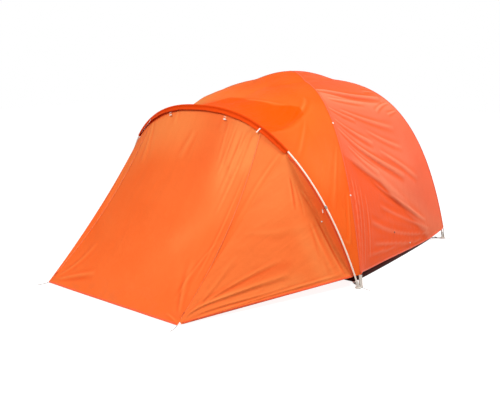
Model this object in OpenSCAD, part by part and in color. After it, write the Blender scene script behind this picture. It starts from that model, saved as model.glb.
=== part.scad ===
// Dome tent with two crossing poles, a brow pole and a hooped vestibule.
// The front (vestibule) faces -Y, +X is on the right seen from the front, Z is up.

/* [Footprint] */
// Distance between the two front feet
front_feet = 2300; // [2100:10:2500]
// Distance between the two rear feet
rear_feet = 2200; // [2000:10:2500]
// Distance from the front feet to the rear feet
body_depth = 1580; // [1450:10:1750]
// Distance from the front feet to the vestibule's front hem
vest_depth = 1270; // [1150:10:1400]
// Width of the vestibule's front hem
vest_w = 1260; // [1150:10:1400]

/* [Dome poles] */
// Height of the lower dome pole where the poles cross
dome_h = 1348; // [1250:1:1450]
// Squareness of the dome arch's front half, higher is boxier
front_n = 2.6; // [2.5:0.1:3.4]
// Squareness of the dome arch's rear half
rear_n = 3.4; // [2.8:0.1:3.6]
// Start angle of the dome arch, higher makes the legs slope more
dome_t0 = 38; // [24:1:45]
// Outer diameter of every pole tube
pole_d = 11; // [10:0.5:12]
// Wall of a pole tube
pole_wall = 1.2; // [1:0.1:1.5]
// Number of tube sections in a dome pole
dome_sections = 9; // [8:1:10]
// Number of tube sections in the hoop pole
hoop_sections = 8; // [7:1:9]

/* [Hoop] */
// Height of the hoop arch along its own plane
hoop_len = 1250; // [1150:5:1300]
// Squareness of the hoop arch
hoop_n = 2.45; // [2.2:0.05:2.7]
// Start angle of the hoop arch
hoop_t0 = 24; // [20:1:27]
// Forward lean of the hoop
hoop_lean = 15.3; // [12:0.1:18]
// Half width of the front panel where it meets the hoop
zip_x = 530; // [480:5:560]
// Half width of the sleeve that holds the hoop pole
sleeve_x = 715; // [670:5:750]
// Depth of the sleeve's loose valance
valance = 52; // [30:1:60]
// Angle at which the valance stands forward of the hoop's plane
valance_tilt = 63; // [58:1:70]

/* [Brow pole and hub] */
// Straight distance between the ends of the brow pole
brow_span = 520; // [450:10:600]
// Height of the brow pole's middle above the upper dome pole
brow_rise = 58; // [40:1:65]
// Drop from the brow pole's middle to its ends
brow_drop = 90; // [70:1:110]
// Distance of the brow pole's middle behind the crossing
brow_back = 60; // [0:5:80]
// Vertical step from one dome pole to the other at the crossing
hub_step = 16; // [14:1:20]
// Radius of the hub
hub_r = 17; // [15:1:22]

/* [Fly] */
// Thickness of the fly cloth solids
fly_t = 2; // [1.5:0.1:2.5]
// Distance from a dome pole's axis to the fly's ridge
ridge_off = 18; // [16:0.5:22]
// Height of the fly's hem at the feet
hem_z = 88; // [70:1:110]
// Height of the side hem just behind the front feet
hem_front = 36; // [25:1:50]
// Height of the side hem just before the rear feet
hem_rear = 12; // [8:1:30]
// Inward sag in the middle of a side panel and the front roof
panel_sag = 28; // [0:1:50]
// Inward sag in the middle of the rear panel
rear_sag = 14; // [0:1:25]
// Inward sag of the creases beside the front panel
crease_sag = 85; // [60:1:110]
// Distance that a side hem pulls in from the line between its feet
hem_inset = 62; // [40:1:70]
// Distance that the rear hem pulls in from the line between its feet
rear_inset = 22; // [10:1:35]
// Height of the front hem above the ground
vest_hem = 6; // [4:1:15]

/* [Inner tent] */
// Distance from the dome poles' axis to the inner canopy's ridges
inner_off = 80; // [70:1:95]
// Thickness of the canopy and floor solids
inner_t = 2; // [1.5:0.1:2.5]
// Height of the tub floor's wall
tub_h = 100; // [80:1:130]
// Width of the inner door
door_w = 620; // [500:5:700]
// Height of the inner door along the wall
door_h = 700; // [600:5:720]
// Height of the flat front wall above the inner door
wall_head = 55; // [45:1:120]
// Radius of the inner door's rounded corner
door_r = 260; // [150:5:300]
// Width of the zip around the inner door
zip_w = 7; // [5:0.5:9]

/* [Feet and fittings] */
// Radius of a foot's pad
foot_r = 20; // [18:1:26]
// Height of the socket's floor above the ground
foot_rise = 14; // [12:1:18]
// Length of a foot's socket
socket_len = 38; // [30:1:45]
// Outer radius of a foot's socket
socket_r = 9.5; // [8.5:0.1:11]
// Distance between the two sockets of a front foot
foot_gap = 32; // [28:1:40]
// Radius of a pole's end tip
tip_r = 3.6; // [3:0.1:4]
// Running clearance around a tip, a pole or a ferrule
fit_gap = 0.3; // [0.2:0.05:0.5]
// Width of the webbing straps
strap_w = 22; // [18:1:26]
// Thickness of the webbing straps
strap_t = 1.6; // [1.2:0.1:2]
// Diameter of a toggle
toggle_d = 7; // [6:0.5:9]
// Length of a toggle
toggle_len = 26; // [22:1:32]
// Diameter of the corner cords
cord_d = 3; // [2.5:0.1:3.5]

/* [Hidden] */
$fn = 48;

// The whole tent is centred on the origin, front hem to the back of the rear feet.
total = vest_depth + body_depth + foot_r;
y_front = vest_depth - total / 2;
y_rear = y_front + body_depth;
y_hem = y_front - vest_depth;
pole_r = pole_d / 2;

// Plan geometry of a dome pole: from a front foot to the opposite rear foot.
foot_a = [front_feet / 2, y_front + foot_gap / 2];
foot_b = [-rear_feet / 2, y_rear];
diag = norm(foot_a - foot_b);
diag_dir = (foot_a - foot_b) / diag;
diag_mid = (foot_a + foot_b) / 2;

// ---- small vector helpers ----
function unit(v) = v / norm(v);
function lerp(a, b, k) = a + (b - a) * k;
function sgn(v) = v < 0 ? -1 : 1;
function flip_x(p) = [-p[0], p[1], p[2]];
function perp(v, c) = unit(v - (v * c) * c);

// ---- arches ----
// Point of an arch whose foot is at [half, 0] for t = t0 and whose top is at [0, h].
function arch(t, half, h, t0, n) =
    let (s = pow(sin(t), 2 / n), s0 = pow(sin(t0), 2 / n))
    [sgn(cos(t)) * half * pow(abs(cos(t)) / cos(t0), 2 / n), h * (s - s0) / (1 - s0)];
// Parameter at which an arch has height z, on its first half.
function arch_t_of_z(z, h, t0, n) =
    let (s0 = pow(sin(t0), 2 / n))
    asin(pow(s0 + z / h * (1 - s0), n / 2));
// Parameter at which an arch is x from its middle.
function arch_t_of_x(x, half, t0, n) = acos(cos(t0) * sgn(x) * pow(abs(x) / half, n / 2));

// Dome arch: side 1 starts at the front right foot, side -1 at the front left foot.
function dome(t, side, grow, step) =
    let (h = dome_h - foot_rise + step + grow,
        a = arch(t, diag / 2 + grow, h, dome_t0, t < 90 ? front_n : rear_n))
    [side * (diag_mid[0] + diag_dir[0] * a[0]), diag_mid[1] + diag_dir[1] * a[0], foot_rise + a[1]];
// Parameter at which a dome arch is z above the ground, on its front or its rear leg.
function dome_t(z, grow, step, rear) =
    let (h = dome_h - foot_rise + step + grow,
        t = arch_t_of_z(z - foot_rise, h, dome_t0, rear ? rear_n : front_n))
    rear ? 180 - t : t;
cross_a = -diag_mid[0] / diag_dir[0];
function dome_cross_t(grow) =
    arch_t_of_x(cross_a, diag / 2 + grow, dome_t0, cross_a > 0 ? front_n : rear_n);
cross_y = diag_mid[1] - diag_dir[1] * diag_mid[0] / diag_dir[0];
upper_h = dome_h + hub_step;

// Hoop arch, leaning forward about the line between the front feet.
function hoop(t, grow) =
    let (a = arch(t, front_feet / 2 + grow, hoop_len + grow, hoop_t0, hoop_n))
    [a[0], y_front - foot_gap / 2 - a[1] * sin(hoop_lean), foot_rise + a[1] * cos(hoop_lean)];
hoop_normal = [0, -cos(hoop_lean), -sin(hoop_lean)];
function hoop_out(t) =
    unit(cross(unit(hoop(t + 0.5, 0) - hoop(t - 0.5, 0)), hoop_normal));

// Brow arch: a round arc from front to rear, its middle a little behind the crossing.
brow_r = (brow_span * brow_span / 4 + brow_drop * brow_drop) / (2 * brow_drop);
brow_a = asin(brow_span / 2 / brow_r);
brow_z = upper_h + brow_rise;
function brow(a) = [0, cross_y + brow_back + brow_r * sin(a), brow_z - brow_r * (1 - cos(a))];
brow_hub_a = -asin(brow_back / brow_r);
brow_hub = brow(brow_hub_a);
brow_slope = [0, cos(brow_hub_a), -sin(brow_hub_a)];

// ---- lengths along a curve ----
SAMPLES = 160;
function curve_pt(kind, t) =
    kind == 0 ? dome(t, 1, 0, hub_step) :
    kind == 1 ? dome(t, -1, 0, 0) :
    kind == 2 ? hoop(t, 0) : brow(t);
function curve_t0(kind) = kind < 2 ? dome_t0 : kind == 2 ? hoop_t0 : -brow_a;
function curve_t1(kind) = kind == 3 ? brow_a : 180 - curve_t0(kind);
function sample_t(kind, i) = lerp(curve_t0(kind), curve_t1(kind), i / SAMPLES);
function running(kind, i, len, acc) =
    i > SAMPLES ? acc :
    let (step = i == 0 ? 0 :
        norm(curve_pt(kind, sample_t(kind, i)) - curve_pt(kind, sample_t(kind, i - 1))))
    running(kind, i + 1, len + step, concat(acc, [[len + step, sample_t(kind, i)]]));
TABLE = [for (kind = [0:3]) running(kind, 0, 0, [])];
function curve_len(kind) = TABLE[kind][SAMPLES][0];
function at_len(kind, s) = curve_pt(kind, lookup(s, TABLE[kind]));
function tan_len(kind, s) = unit(at_len(kind, s + 4) - at_len(kind, s - 4));
function curve_normal(kind) =
    kind == 0 ? [diag_dir[1], -diag_dir[0], 0] :
    kind == 1 ? [diag_dir[1], diag_dir[0], 0] :
    kind == 2 ? hoop_normal : [1, 0, 0];

// ---- sweeps along a flat curve ----
// A profile point is [outward in the curve's plane, along the plane's normal].
function ring(kind, s, prof) =
    let (p = at_len(kind, s), t = tan_len(kind, s), n = curve_normal(kind), r = cross(t, n))
    [for (q = prof) p + q[0] * r + q[1] * n];
function round_prof(r, sides) = [for (i = [0:sides - 1]) r * [cos(i * 360 / sides), sin(i * 360 / sides)]];
function side_faces(rings, m, base, out) = [
    for (i = [0:rings - 2]) for (j = [0:m - 1])
        let (a = base + i * m + j, b = base + i * m + (j + 1) % m)
        each out ? [[a, b, b + m], [a, b + m, a + m]] : [[a, b + m, b], [a, a + m, b + m]]
];
module solid_sweep(rings) {
    m = len(rings[0]);
    k = len(rings);
    polyhedron(
        points = [for (r = rings) each r],
        faces = concat(
            side_faces(k, m, 0, true),
            [[for (j = [m - 1:-1:0]) j], [for (j = [0:m - 1]) (k - 1) * m + j]]
        ),
        convexity = 4
    );
}
module hollow_sweep(outer, inner) {
    m = len(outer[0]);
    k = len(outer);
    base = m * k;
    last = (k - 1) * m;
    polyhedron(
        points = concat([for (r = outer) each r], [for (r = inner) each r]),
        faces = concat(
            side_faces(k, m, 0, true),
            side_faces(k, m, base, false),
            [for (j = [0:m - 1]) each [
                [(j + 1) % m, j, base + j],
                [(j + 1) % m, base + j, base + (j + 1) % m],
                [last + j, last + (j + 1) % m, base + last + (j + 1) % m],
                [last + j, base + last + (j + 1) % m, base + last + j]
            ]]
        ),
        convexity = 6
    );
}

// ---- poles ----
tube_sides = 8;
insert = 38;
joint_gap = 0.4;
bore_r = pole_r - pole_wall;
ferrule_r = (bore_r - fit_gap / 2) * cos(180 / tube_sides);
ferrule_wall = 0.9;
shock_r = 1.5;
end_gap = socket_len + 3;
function pole_start(kind) = kind == 3 ? 0 : end_gap;
function section_len(kind, count) = (curve_len(kind) - 2 * pole_start(kind)) / count;
function section_stops(kind, count, i) =
    let (a = pole_start(kind) + i * section_len(kind, count) + joint_gap / 2,
        b = a + section_len(kind, count) - joint_gap)
    [a, a + insert, lerp(a, b, 0.25), lerp(a, b, 0.5), lerp(a, b, 0.75), b - insert, b];
module pole(kind, count) {
    for (i = [0:count - 1]) {
        stops = section_stops(kind, count, i);
        hollow_sweep(
            [for (s = stops) ring(kind, s, round_prof(pole_r, tube_sides))],
            [for (s = stops) ring(kind, s, round_prof(bore_r, tube_sides))]
        );
    }
}
module hoop_pole() {
    color("linen") pole(2, hoop_sections);
}
module dome_pole_a() {
    color("linen") pole(0, dome_sections);
}
module dome_pole_b() {
    color("linen") pole(1, dome_sections);
}
brow_sections = 2;
module brow_pole() {
    color("linen") pole(3, brow_sections);
}
module ferrules() {
    color("silver")
        for (k = [[0, dome_sections], [1, dome_sections], [2, hoop_sections], [3, brow_sections]])
            for (i = [1:k[1] - 1]) {
                mid = pole_start(k[0]) + i * section_len(k[0], k[1]);
                stops = [mid - insert, mid, mid + insert];
                hollow_sweep(
                    [for (s = stops) ring(k[0], s, round_prof(ferrule_r, 6))],
                    [for (s = stops) ring(k[0], s, round_prof(ferrule_r - ferrule_wall, 6))]
                );
            }
}
// A tip stands in a foot's socket and reaches up inside the tube's end.
tip_len = end_gap + insert;
function leg_dir(kind, far) =
    let (s = far ? curve_len(kind) : 0, q = far ? s - end_gap : end_gap)
    unit(at_len(kind, q) - at_len(kind, s));
module tip(kind, far) {
    place(at_len(kind, far ? curve_len(kind) : 0), leg_dir(kind, far)) {
        cylinder(r = tip_r, h = end_gap - 1);
        translate([0, 0, end_gap - 3]) cylinder(r = pole_r + 1, h = 2.5);
    }
}
module brow_tip(far) {
    s = far ? curve_len(3) : 0;
    way = far ? -1 : 1;
    place(at_len(3, s) - way * 12 * tan_len(3, s + way * 5), way * tan_len(3, s + way * 5))
        cylinder(r = pole_r + 1, h = 11.7);
}
module pole_tips() {
    color("dimgray") {
        for (kind = [0:2]) for (far = [false, true]) tip(kind, far);
        for (far = [false, true]) brow_tip(far);
    }
}
module shock_cord() {
    color("black")
        for (kind = [0:2]) {
            n = 72;
            solid_sweep([for (i = [0:n])
                ring(kind, lerp(end_gap + 2, curve_len(kind) - end_gap - 2, i / n), round_prof(shock_r, 6))]);
        }
}

// ---- placing ----
// Moves children to p with their +Z turned to d.
module place(p, d) {
    translate(p) rotate([0, acos(d[2] / norm(d)), atan2(d[1], d[0])]) children();
}
// Moves children to p with their axes along x, y and z.
module frame(p, x, y, z) {
    multmatrix([
        [x[0], y[0], z[0], p[0]],
        [x[1], y[1], z[1], p[1]],
        [x[2], y[2], z[2], p[2]],
        [0, 0, 0, 1]
    ]) children();
}
module both() {
    children();
    mirror([1, 0, 0]) children();
}

// ---- hub, feet and straps ----
hub_clear = 1.2;
hub_lip = 4;
hub_neck = 7;
saddle_len = 30;
saddle_wall = 2;
bore_len = 80;
module hub_bore(z, d) {
    place([0, cross_y, z] - bore_len / 2 * d, d) cylinder(r = pole_r + hub_clear, h = bore_len);
}
module pole_hub() {
    top = upper_h + pole_r + hub_lip;
    color("dimgray")
        difference() {
            union() {
                translate([0, cross_y, dome_h - pole_r - hub_lip])
                    cylinder(r = hub_r, h = top - dome_h + pole_r + hub_lip);
                translate([0, cross_y, top - 1]) cylinder(r = hub_neck, h = brow_hub[2] - top);
                place(brow_hub - saddle_len / 2 * brow_slope, brow_slope)
                    cylinder(r = pole_r + hub_clear + saddle_wall, h = saddle_len);
            }
            hub_bore(dome_h, [diag_dir[0], -diag_dir[1], 0]);
            hub_bore(upper_h, [diag_dir[0], diag_dir[1], 0]);
            hub_bore(brow_hub[2], brow_slope);
        }
}

pad_h = 7;
socket_root = 11;
web_w = 30;
web_h = 5.5;
module foot_block(at, starts, dirs) {
    color("gainsboro")
        difference() {
            union() {
                for (i = [0:len(starts) - 1]) {
                    translate([starts[i][0], starts[i][1], 0]) cylinder(r = foot_r, h = pad_h);
                    place(starts[i] - socket_root * dirs[i], dirs[i])
                        rotate(90) cylinder(r = socket_r, h = socket_len + socket_root);
                }
                if (len(starts) > 1)
                    translate([at[0] - web_w / 2, at[1] - foot_gap / 2, 0])
                        cube([web_w, foot_gap, web_h]);
            }
            for (i = [0:len(starts) - 1])
                place(starts[i] - fit_gap / 2 * dirs[i], dirs[i])
                    cylinder(r = tip_r + fit_gap, h = socket_len + 1);
        }
}
module front_foot(dome_kind) {
    foot_block([front_feet / 2, y_front], [at_len(dome_kind, 0), at_len(2, 0)],
        [leg_dir(dome_kind, false), leg_dir(2, false)]);
}
module foot_front_right() {
    front_foot(0);
}
module foot_front_left() {
    mirror([1, 0, 0]) front_foot(0);
}
module foot_rear_right() {
    end = [-foot_b[0], foot_b[1], foot_rise];
    foot_block(end, [end], [leg_dir(1, true)]);
}
module foot_rear_left() {
    end = [foot_b[0], foot_b[1], foot_rise];
    foot_block(end, [end], [leg_dir(0, true)]);
}

function inner_ridge(t, side) = dome(t, side, -inner_off, 0);
// Corners of the tub floor, in plan: front right, rear right.
function tub_t(rear) = dome_t(tub_h, -inner_off, 0, rear);
tub_front = inner_ridge(tub_t(false), 1);
tub_rear = inner_ridge(tub_t(true), -1);
function flat(p) = [p[0], p[1]];
// Strap from a foot to its floor corner, shown for the right side.
strap_z = 3;
function strap_from(front) =
    let (f = front ? [front_feet / 2, y_front] : [-foot_b[0], foot_b[1]],
        c = flat(front ? tub_front : tub_rear), g = unit(c - f))
    front ? f + g * (foot_r / abs(g[0]) + strap_w / 2 * abs(g[1] / g[0]) + fit_gap)
        : f + g * (foot_r + fit_gap);
function strap_to(front) =
    let (c = flat(front ? tub_front : tub_rear)) c - unit(c - strap_from(front)) * fit_gap;
module along(a, b) {
    translate([a[0], a[1], 0]) rotate(atan2(b[1] - a[1], b[0] - a[0])) children();
}
module floor_straps() {
    color("gray")
        both()
            for (front = [true, false]) {
                a = strap_from(front);
                b = strap_to(front);
                along(a, b) translate([0, -strap_w / 2, strap_z])
                    cube([norm(b - a), strap_w, strap_t]);
            }
}
module strap_buckles() {
    bl = 18;
    bw = strap_w + 7;
    bh = 3.2;
    slot = 3.5;
    slot_at = 4.5;
    slot_play = 0.5;
    color("black")
        both()
            for (front = [true, false]) {
                a = strap_from(front);
                b = strap_to(front);
                along(a, b) translate([norm(b - a) / 2, 0, strap_z + strap_t + fit_gap / 2])
                    difference() {
                        translate([-bl / 2, -bw / 2, 0]) cube([bl, bw, bh]);
                        for (x = [-slot_at, slot_at])
                            translate([x - slot / 2, -strap_w / 2 - slot_play, -1])
                                cube([slot, strap_w + 2 * slot_play, bh + 2]);
                    }
            }
}

// ---- cloth shells ----
cloth_centre = [0, 250, 250];
// A shell over a grid of points, rows of equal length; with tip, the last row is one point.
module shell(rows, t, tip) {
    m = len(rows[0]);
    k = len(rows);
    base = m * k;
    top = k - 1;
    cells = [for (j = [0:k - 2]) for (i = [0:m - 2]) [i, j]];
    polyhedron(
        points = concat(
            [for (r = rows) each r],
            [for (r = rows) for (p = r) p + t * unit(cloth_centre - p)]
        ),
        faces = concat(
            [for (c = cells) let (a = c[1] * m + c[0]) each
                tip && c[1] == top - 1
                    ? [[a, top * m, a + 1], [base + a, base + a + 1, base + top * m]]
                    : [[a, a + m, a + m + 1], [a, a + m + 1, a + 1],
                        [base + a, base + a + m + 1, base + a + m],
                        [base + a, base + a + 1, base + a + m + 1]]],
            [for (i = [0:m - 2]) each [[i, i + 1, base + i + 1], [i, base + i + 1, base + i]]],
            tip ? [] : [for (i = [0:m - 2]) let (a = top * m + i) each
                [[a, base + a, base + a + 1], [a, base + a + 1, a + 1]]],
            [for (j = [0:k - 2]) let (last = tip && j == top - 1, a = j * m,
                b = last ? top * m : a + m, c = a + m - 1, d = last ? top * m : c + m) each
                [[a, base + a, base + b], [a, base + b, b], [c, base + d, base + c], [c, d, base + d]]]
        ),
        convexity = 6
    );
}

// ---- fly surfaces, all given for the right side ----
lift_x = 300;
lift_y = 470;
lift_power = 1.2;
function lift(p) =
    let (q = pow(p[0] / lift_x, 2) + pow((p[1] - cross_y - brow_back) / lift_y, 2))
    p + [0, 0, q < 1 ? brow_rise * pow(1 - q, lift_power) : 0];
function fly_hem_t(rear) = dome_t(hem_z, ridge_off, hub_step, rear);
fly_cross_t = dome_cross_t(ridge_off);
function ridge(t, side) = dome(t, side, ridge_off, hub_step);

// Stations up the front and along the hoop, shared by every cloth that meets there.
strip_cells = 8;
gusset_cells = 2;
panel_cells = 6;
rows_up = strip_cells + gusset_cells + panel_cells;
seam_off = pole_r + 4.6;
function seam(t) = hoop(t, -seam_off);
function seam_t_of_x(x) = arch_t_of_x(x, front_feet / 2 - seam_off, hoop_t0, hoop_n);
seam_t_hem =
    arch_t_of_z((hem_z - foot_rise) / cos(hoop_lean), hoop_len - seam_off, hoop_t0, hoop_n);
seam_t_door = seam_t_of_x(sleeve_x);
seam_t_zip = seam_t_of_x(zip_x);
function seam_stop(i) =
    i <= strip_cells ? lerp(seam_t_hem, seam_t_door, i / strip_cells) :
    i <= strip_cells + gusset_cells
        ? lerp(seam_t_door, seam_t_zip, (i - strip_cells) / gusset_cells)
        : lerp(seam_t_zip, 90, (i - strip_cells - gusset_cells) / panel_cells);
function seam_at(i) =
    i <= rows_up ? seam(seam_stop(i)) : flip_x(seam(seam_stop(2 * rows_up - i)));
function ridge_stop(i, rear) =
    lerp(fly_hem_t(rear), rear ? 180 - fly_cross_t : fly_cross_t, i / rows_up);
function front_ridge(i) = ridge(ridge_stop(i, false), 1);
function rear_ridge(i) = ridge(i == rows_up ? fly_cross_t : ridge_stop(i, true), -1);
function front_ridge_at(i) = i <= rows_up ? front_ridge(i) : flip_x(front_ridge(2 * rows_up - i));

// Sag goes to nothing at the ridges, at the hem and near the brow pole.
sag_end = 0.75;
function sag_weight(v) = v < sag_end ? sin(180 * v / sag_end) : 0;
function sagged(p, amount) = p + amount * unit(cloth_centre - p);
scallop = 8;
hem_fade = 5;
// u runs between the two legs, i counts rows from the hem to the apex.
side_us = [0, 0.04, 0.12, 0.3, 0.5, 0.7, 0.88, 0.96, 1];
function hem_shift(u, z, v, dir) =
    let (k = pow(1 - pow(abs(2 * u - 1), scallop), 2), f = pow(1 - v, hem_fade))
    f * k * (dir + [0, 0, z - hem_z]);
function right_pt(u, i) =
    let (v = i / rows_up, p = lerp(front_ridge(i), rear_ridge(i), u))
    lift(sagged(p + hem_shift(u, lerp(hem_front, hem_rear, u), v, [-hem_inset, 0, 0]),
        panel_sag * 4 * u * (1 - u) * sag_weight(v)));
function rear_pt(u, i) =
    let (v = i / rows_up, r = rear_ridge(i), p = lerp(r, flip_x(r), u))
    lift(sagged(p + hem_shift(u, hem_rear, v, [0, -rear_inset, 0]),
        rear_sag * 4 * u * (1 - u) * sag_weight(v)));
roof_rows = 6;
roof_sag_end = 0.6;
function roof_pt(i, v) =
    let (p = lerp(seam_at(i), front_ridge_at(i), v),
        w = v < roof_sag_end ? sin(180 * v / roof_sag_end) * sin(90 * i / rows_up) : 0)
    lift(sagged(p, panel_sag * w));

module fly_right() {
    color([0.98, 0.42, 0.22])
        shell([for (i = [0:rows_up]) [for (u = side_us) right_pt(u, i)]], fly_t, true);
}
module fly_left() {
    color([0.98, 0.42, 0.22])
        mirror([1, 0, 0])
            shell([for (i = [0:rows_up]) [for (u = side_us) right_pt(u, i)]], fly_t, true);
}
module fly_rear() {
    color([0.93, 0.38, 0.2])
        shell([for (i = [0:rows_up]) [for (u = side_us) rear_pt(u, i)]], fly_t, true);
}
module fly_front_roof() {
    color([1, 0.42, 0.05])
        shell([for (j = [0:roof_rows]) [for (i = [2 * rows_up:-1:0]) roof_pt(i, j / roof_rows)]],
            fly_t, false);
}

// ---- vestibule ----
vest_corner = [vest_w / 2, y_hem, vest_hem];
zip_top = seam(seam_t_zip);
door_top = seam(seam_t_door);
door_foot = seam(seam_t_hem);
crease_dir = unit(zip_top - vest_corner);
crease_in = perp([0, 1, 0], crease_dir);
function crease(v) =
    lerp(vest_corner, zip_top, v) + crease_sag * 4 * v * (1 - v) * crease_in;
crease_cells = 12;
// Front panel: u from left to right, v from the hem to the hoop.
function panel_pt(i, v) =
    let (u = (i - strip_cells - gusset_cells) / (2 * panel_cells),
        hem = lerp(vest_corner, flip_x(vest_corner), u),
        side = lerp(crease_in, flip_x(crease_in), u))
    lerp(hem, seam_at(i), v) + crease_sag * 4 * v * (1 - v) * side;
first_panel = strip_cells + gusset_cells;
module front_panel() {
    color([1, 0.48, 0.2])
        shell([for (j = [0:crease_cells])
            [for (i = [2 * rows_up - first_panel:-1:first_panel]) panel_pt(i, j / crease_cells)]],
            fly_t, false);
}
// Gusset: between the crease and the straight line where the side door is sewn on.
function gusset_pt(i, v) =
    let (u = (i - strip_cells) / gusset_cells)
    lerp(seam_at(i), vest_corner, v) + u * crease_sag * 4 * v * (1 - v) * crease_in;
module gusset() {
    shell([for (j = [0:crease_cells])
        [for (i = [strip_cells:first_panel]) gusset_pt(i, j / crease_cells)]], fly_t, true);
}
module gusset_right() {
    color([1, 0.45, 0.18]) gusset();
}
module gusset_left() {
    color([1, 0.45, 0.18]) mirror([1, 0, 0]) gusset();
}

// Side door: a flat panel that turns about the line from the vestibule's corner to door_top.
door_gap = 1.2;
limb_gap = 14;
door_x = unit(door_top - vest_corner);
door_n = unit(cross(door_foot - vest_corner, door_top - vest_corner));
door_y = cross(door_n, door_x);
function in_door(p) = [(p - vest_corner) * door_x, (p - vest_corner) * door_y];
module in_door_frame() {
    frame(vest_corner, door_x, door_y, door_n) children();
}
door_reach = in_door(door_foot);
door_len = in_door(door_top)[0];
tip_cut = 40;
top_cut = 48;
module side_door() {
    side = sgn(door_reach[1]);
    hem_dir = unit(door_reach);
    rear_dir = unit(door_reach - [door_len, 0]);
    inset = limb_gap * side * [rear_dir[1], -rear_dir[0]];
    in_door_frame() translate([0, 0, -fly_t])
        linear_extrude(fly_t)
            polygon([
                [tip_cut, side * door_gap],
                tip_cut * hem_dir,
                door_reach - inset,
                [door_len, 0] + top_cut * rear_dir - inset,
                [door_len - top_cut, side * door_gap]
            ]);
}
module side_door_right() {
    color([1, 0.45, 0.2]) side_door();
}
module side_door_left() {
    color([1, 0.45, 0.2]) mirror([1, 0, 0]) side_door();
}

// Edge strip: fills the bow between the hoop's limb and the side door's straight edge.
strip_behind = 9;
strip_lap = 34;
strip_short = 0.2;
// The top row stops short of the gusset, by this share of a cell.
function strip_row(i) = i < strip_cells ? i : i - strip_short;
function strip_seam(i) =
    i < strip_cells ? seam_at(i) : lerp(seam_at(i), seam_at(i - 1), strip_short);
function strip_pt(i, v) =
    let (s = strip_seam(i), p = lerp(door_foot, door_top, strip_row(i) / strip_cells),
        inner = p - strip_behind * door_n - strip_lap * unit(door_y * sgn(door_reach[1])))
    lerp(s, inner, v);
module edge_strip() {
    shell([for (j = [0:2]) [for (i = [0:strip_cells]) strip_pt(i, j / 2)]], fly_t, false);
}
module edge_strip_right() {
    color([0.9, 0.36, 0.14]) edge_strip();
}
module edge_strip_left() {
    color([0.9, 0.36, 0.14]) mirror([1, 0, 0]) edge_strip();
}

// ---- hoop sleeve and what hangs on it ----
sleeve_bore = pole_r + 2.5;
sleeve_t = 1.7;
tail_t = 1.2;
tail_dir = [-cos(valance_tilt), sin(valance_tilt)];
tail_turn = 180 - valance_tilt;
function in_hoop(t, q) = hoop(t, 0) + q[0] * hoop_out(t) + q[1] * hoop_normal;
function hoop_tangent(t) = cross(hoop_normal, hoop_out(t));
function tail_at(t, reach) = in_hoop(t, reach * tail_dir);
function tail_up(t) = sin(valance_tilt) * hoop_out(t) + cos(valance_tilt) * hoop_normal;
function tail_down(t) = tail_dir[0] * hoop_out(t) + tail_dir[1] * hoop_normal;
ring_pts = 11;
tail_open = 10;
function sleeve_outer() = concat(
    [for (i = [0:ring_pts - 1])
        let (a = tail_turn + tail_open + i * (360 - 2 * tail_open) / (ring_pts - 1))
        (sleeve_bore + sleeve_t) * [cos(a), sin(a)]],
    [valance * tail_dir - tail_t / 2 * [tail_dir[1], -tail_dir[0]],
        valance * tail_dir + tail_t / 2 * [tail_dir[1], -tail_dir[0]]]);
function sleeve_inner() = concat(
    [for (i = [0:ring_pts - 1])
        let (a = tail_turn + tail_open + i * (360 - 2 * tail_open) / (ring_pts - 1))
        sleeve_bore * [cos(a), sin(a)]],
    [for (a = [-1, 1]) sleeve_bore * [cos(tail_turn + a * tail_open / 3), sin(tail_turn + a * tail_open / 3)]]);
module hoop_sleeve() {
    stops = [for (i = [strip_cells:2 * rows_up - strip_cells])
        i <= rows_up ? seam_stop(i) : 180 - seam_stop(2 * rows_up - i)];
    color([0.88, 0.27, 0.06])
        hollow_sweep(
            [for (t = stops) [for (q = sleeve_outer()) in_hoop(t, q)]],
            [for (t = stops) [for (q = sleeve_inner()) in_hoop(t, q)]]
        );
}
function hoop_t_of_x(x) = arch_t_of_x(x, front_feet / 2, hoop_t0, hoop_n);
sleeve_strap_w = 8;
sleeve_strap_t = 1;
module sleeve_straps() {
    t = hoop_t_of_x(zip_x);
    start = sleeve_bore + sleeve_t + 1;
    root = (sleeve_bore + sleeve_t) * sin(tail_open);
    color("whitesmoke")
        both()
            frame(tail_at(t, start) + (root + fit_gap) * tail_up(t), hoop_tangent(t), tail_down(t),
                cross(hoop_tangent(t), tail_down(t)))
                translate([-sleeve_strap_w / 2, 0, 0])
                    cube([sleeve_strap_w, valance - start, sleeve_strap_t]);
}

// A toggle: a short bar with domed ends, centred, along Z.
module toggle_bar() {
    r = toggle_d / 2;
    cylinder(r = r, h = toggle_len - toggle_d, center = true);
    for (z = [-1, 1]) translate([0, 0, z * (toggle_len - toggle_d) / 2]) sphere(r = r);
}
// A roll-up toggle hangs from the valance in a loop, this far from the middle of the hoop.
rollup_x = 270;
loop_r = 8;
loop_wire = 1.1;
loop_gap = 1;
module rollup_toggle() {
    t = hoop_t_of_x(rollup_x);
    hang = perp([0, 0, -1], hoop_tangent(t));
    top = tail_at(t, valance + loop_gap);
    color("darkred")
        frame(top + (loop_r + loop_wire) * hang, hoop_tangent(t), hang,
            cross(hoop_tangent(t), hang))
            rotate_extrude() translate([loop_r, 0]) circle(r = loop_wire, $fn = 16);
    color("whitesmoke")
        place(top + (2 * (loop_r + loop_wire) + toggle_d / 2 + 0.1) * hang, hoop_tangent(t))
            toggle_bar();
}
module rollup_toggle_right() {
    rollup_toggle();
}
module rollup_toggle_left() {
    mirror([1, 0, 0]) rollup_toggle();
}

// ---- clip on the hoop's limb, its loop and the toggles of the side door ----
clip_s = section_stops(2, hoop_sections, 1)[2];
clip_p = at_len(2, clip_s);
clip_len = 20;
clip_wall = 2.2;
// A point on the side door: height z, in from its rear edge, out from its face.
function on_door(z, in, out) =
    let (k = (z - door_foot[2]) / (door_top[2] - door_foot[2]),
        p = lerp(door_foot, door_top, k))
    p - in * sgn(door_reach[1]) * door_y + out * door_n;
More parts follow.
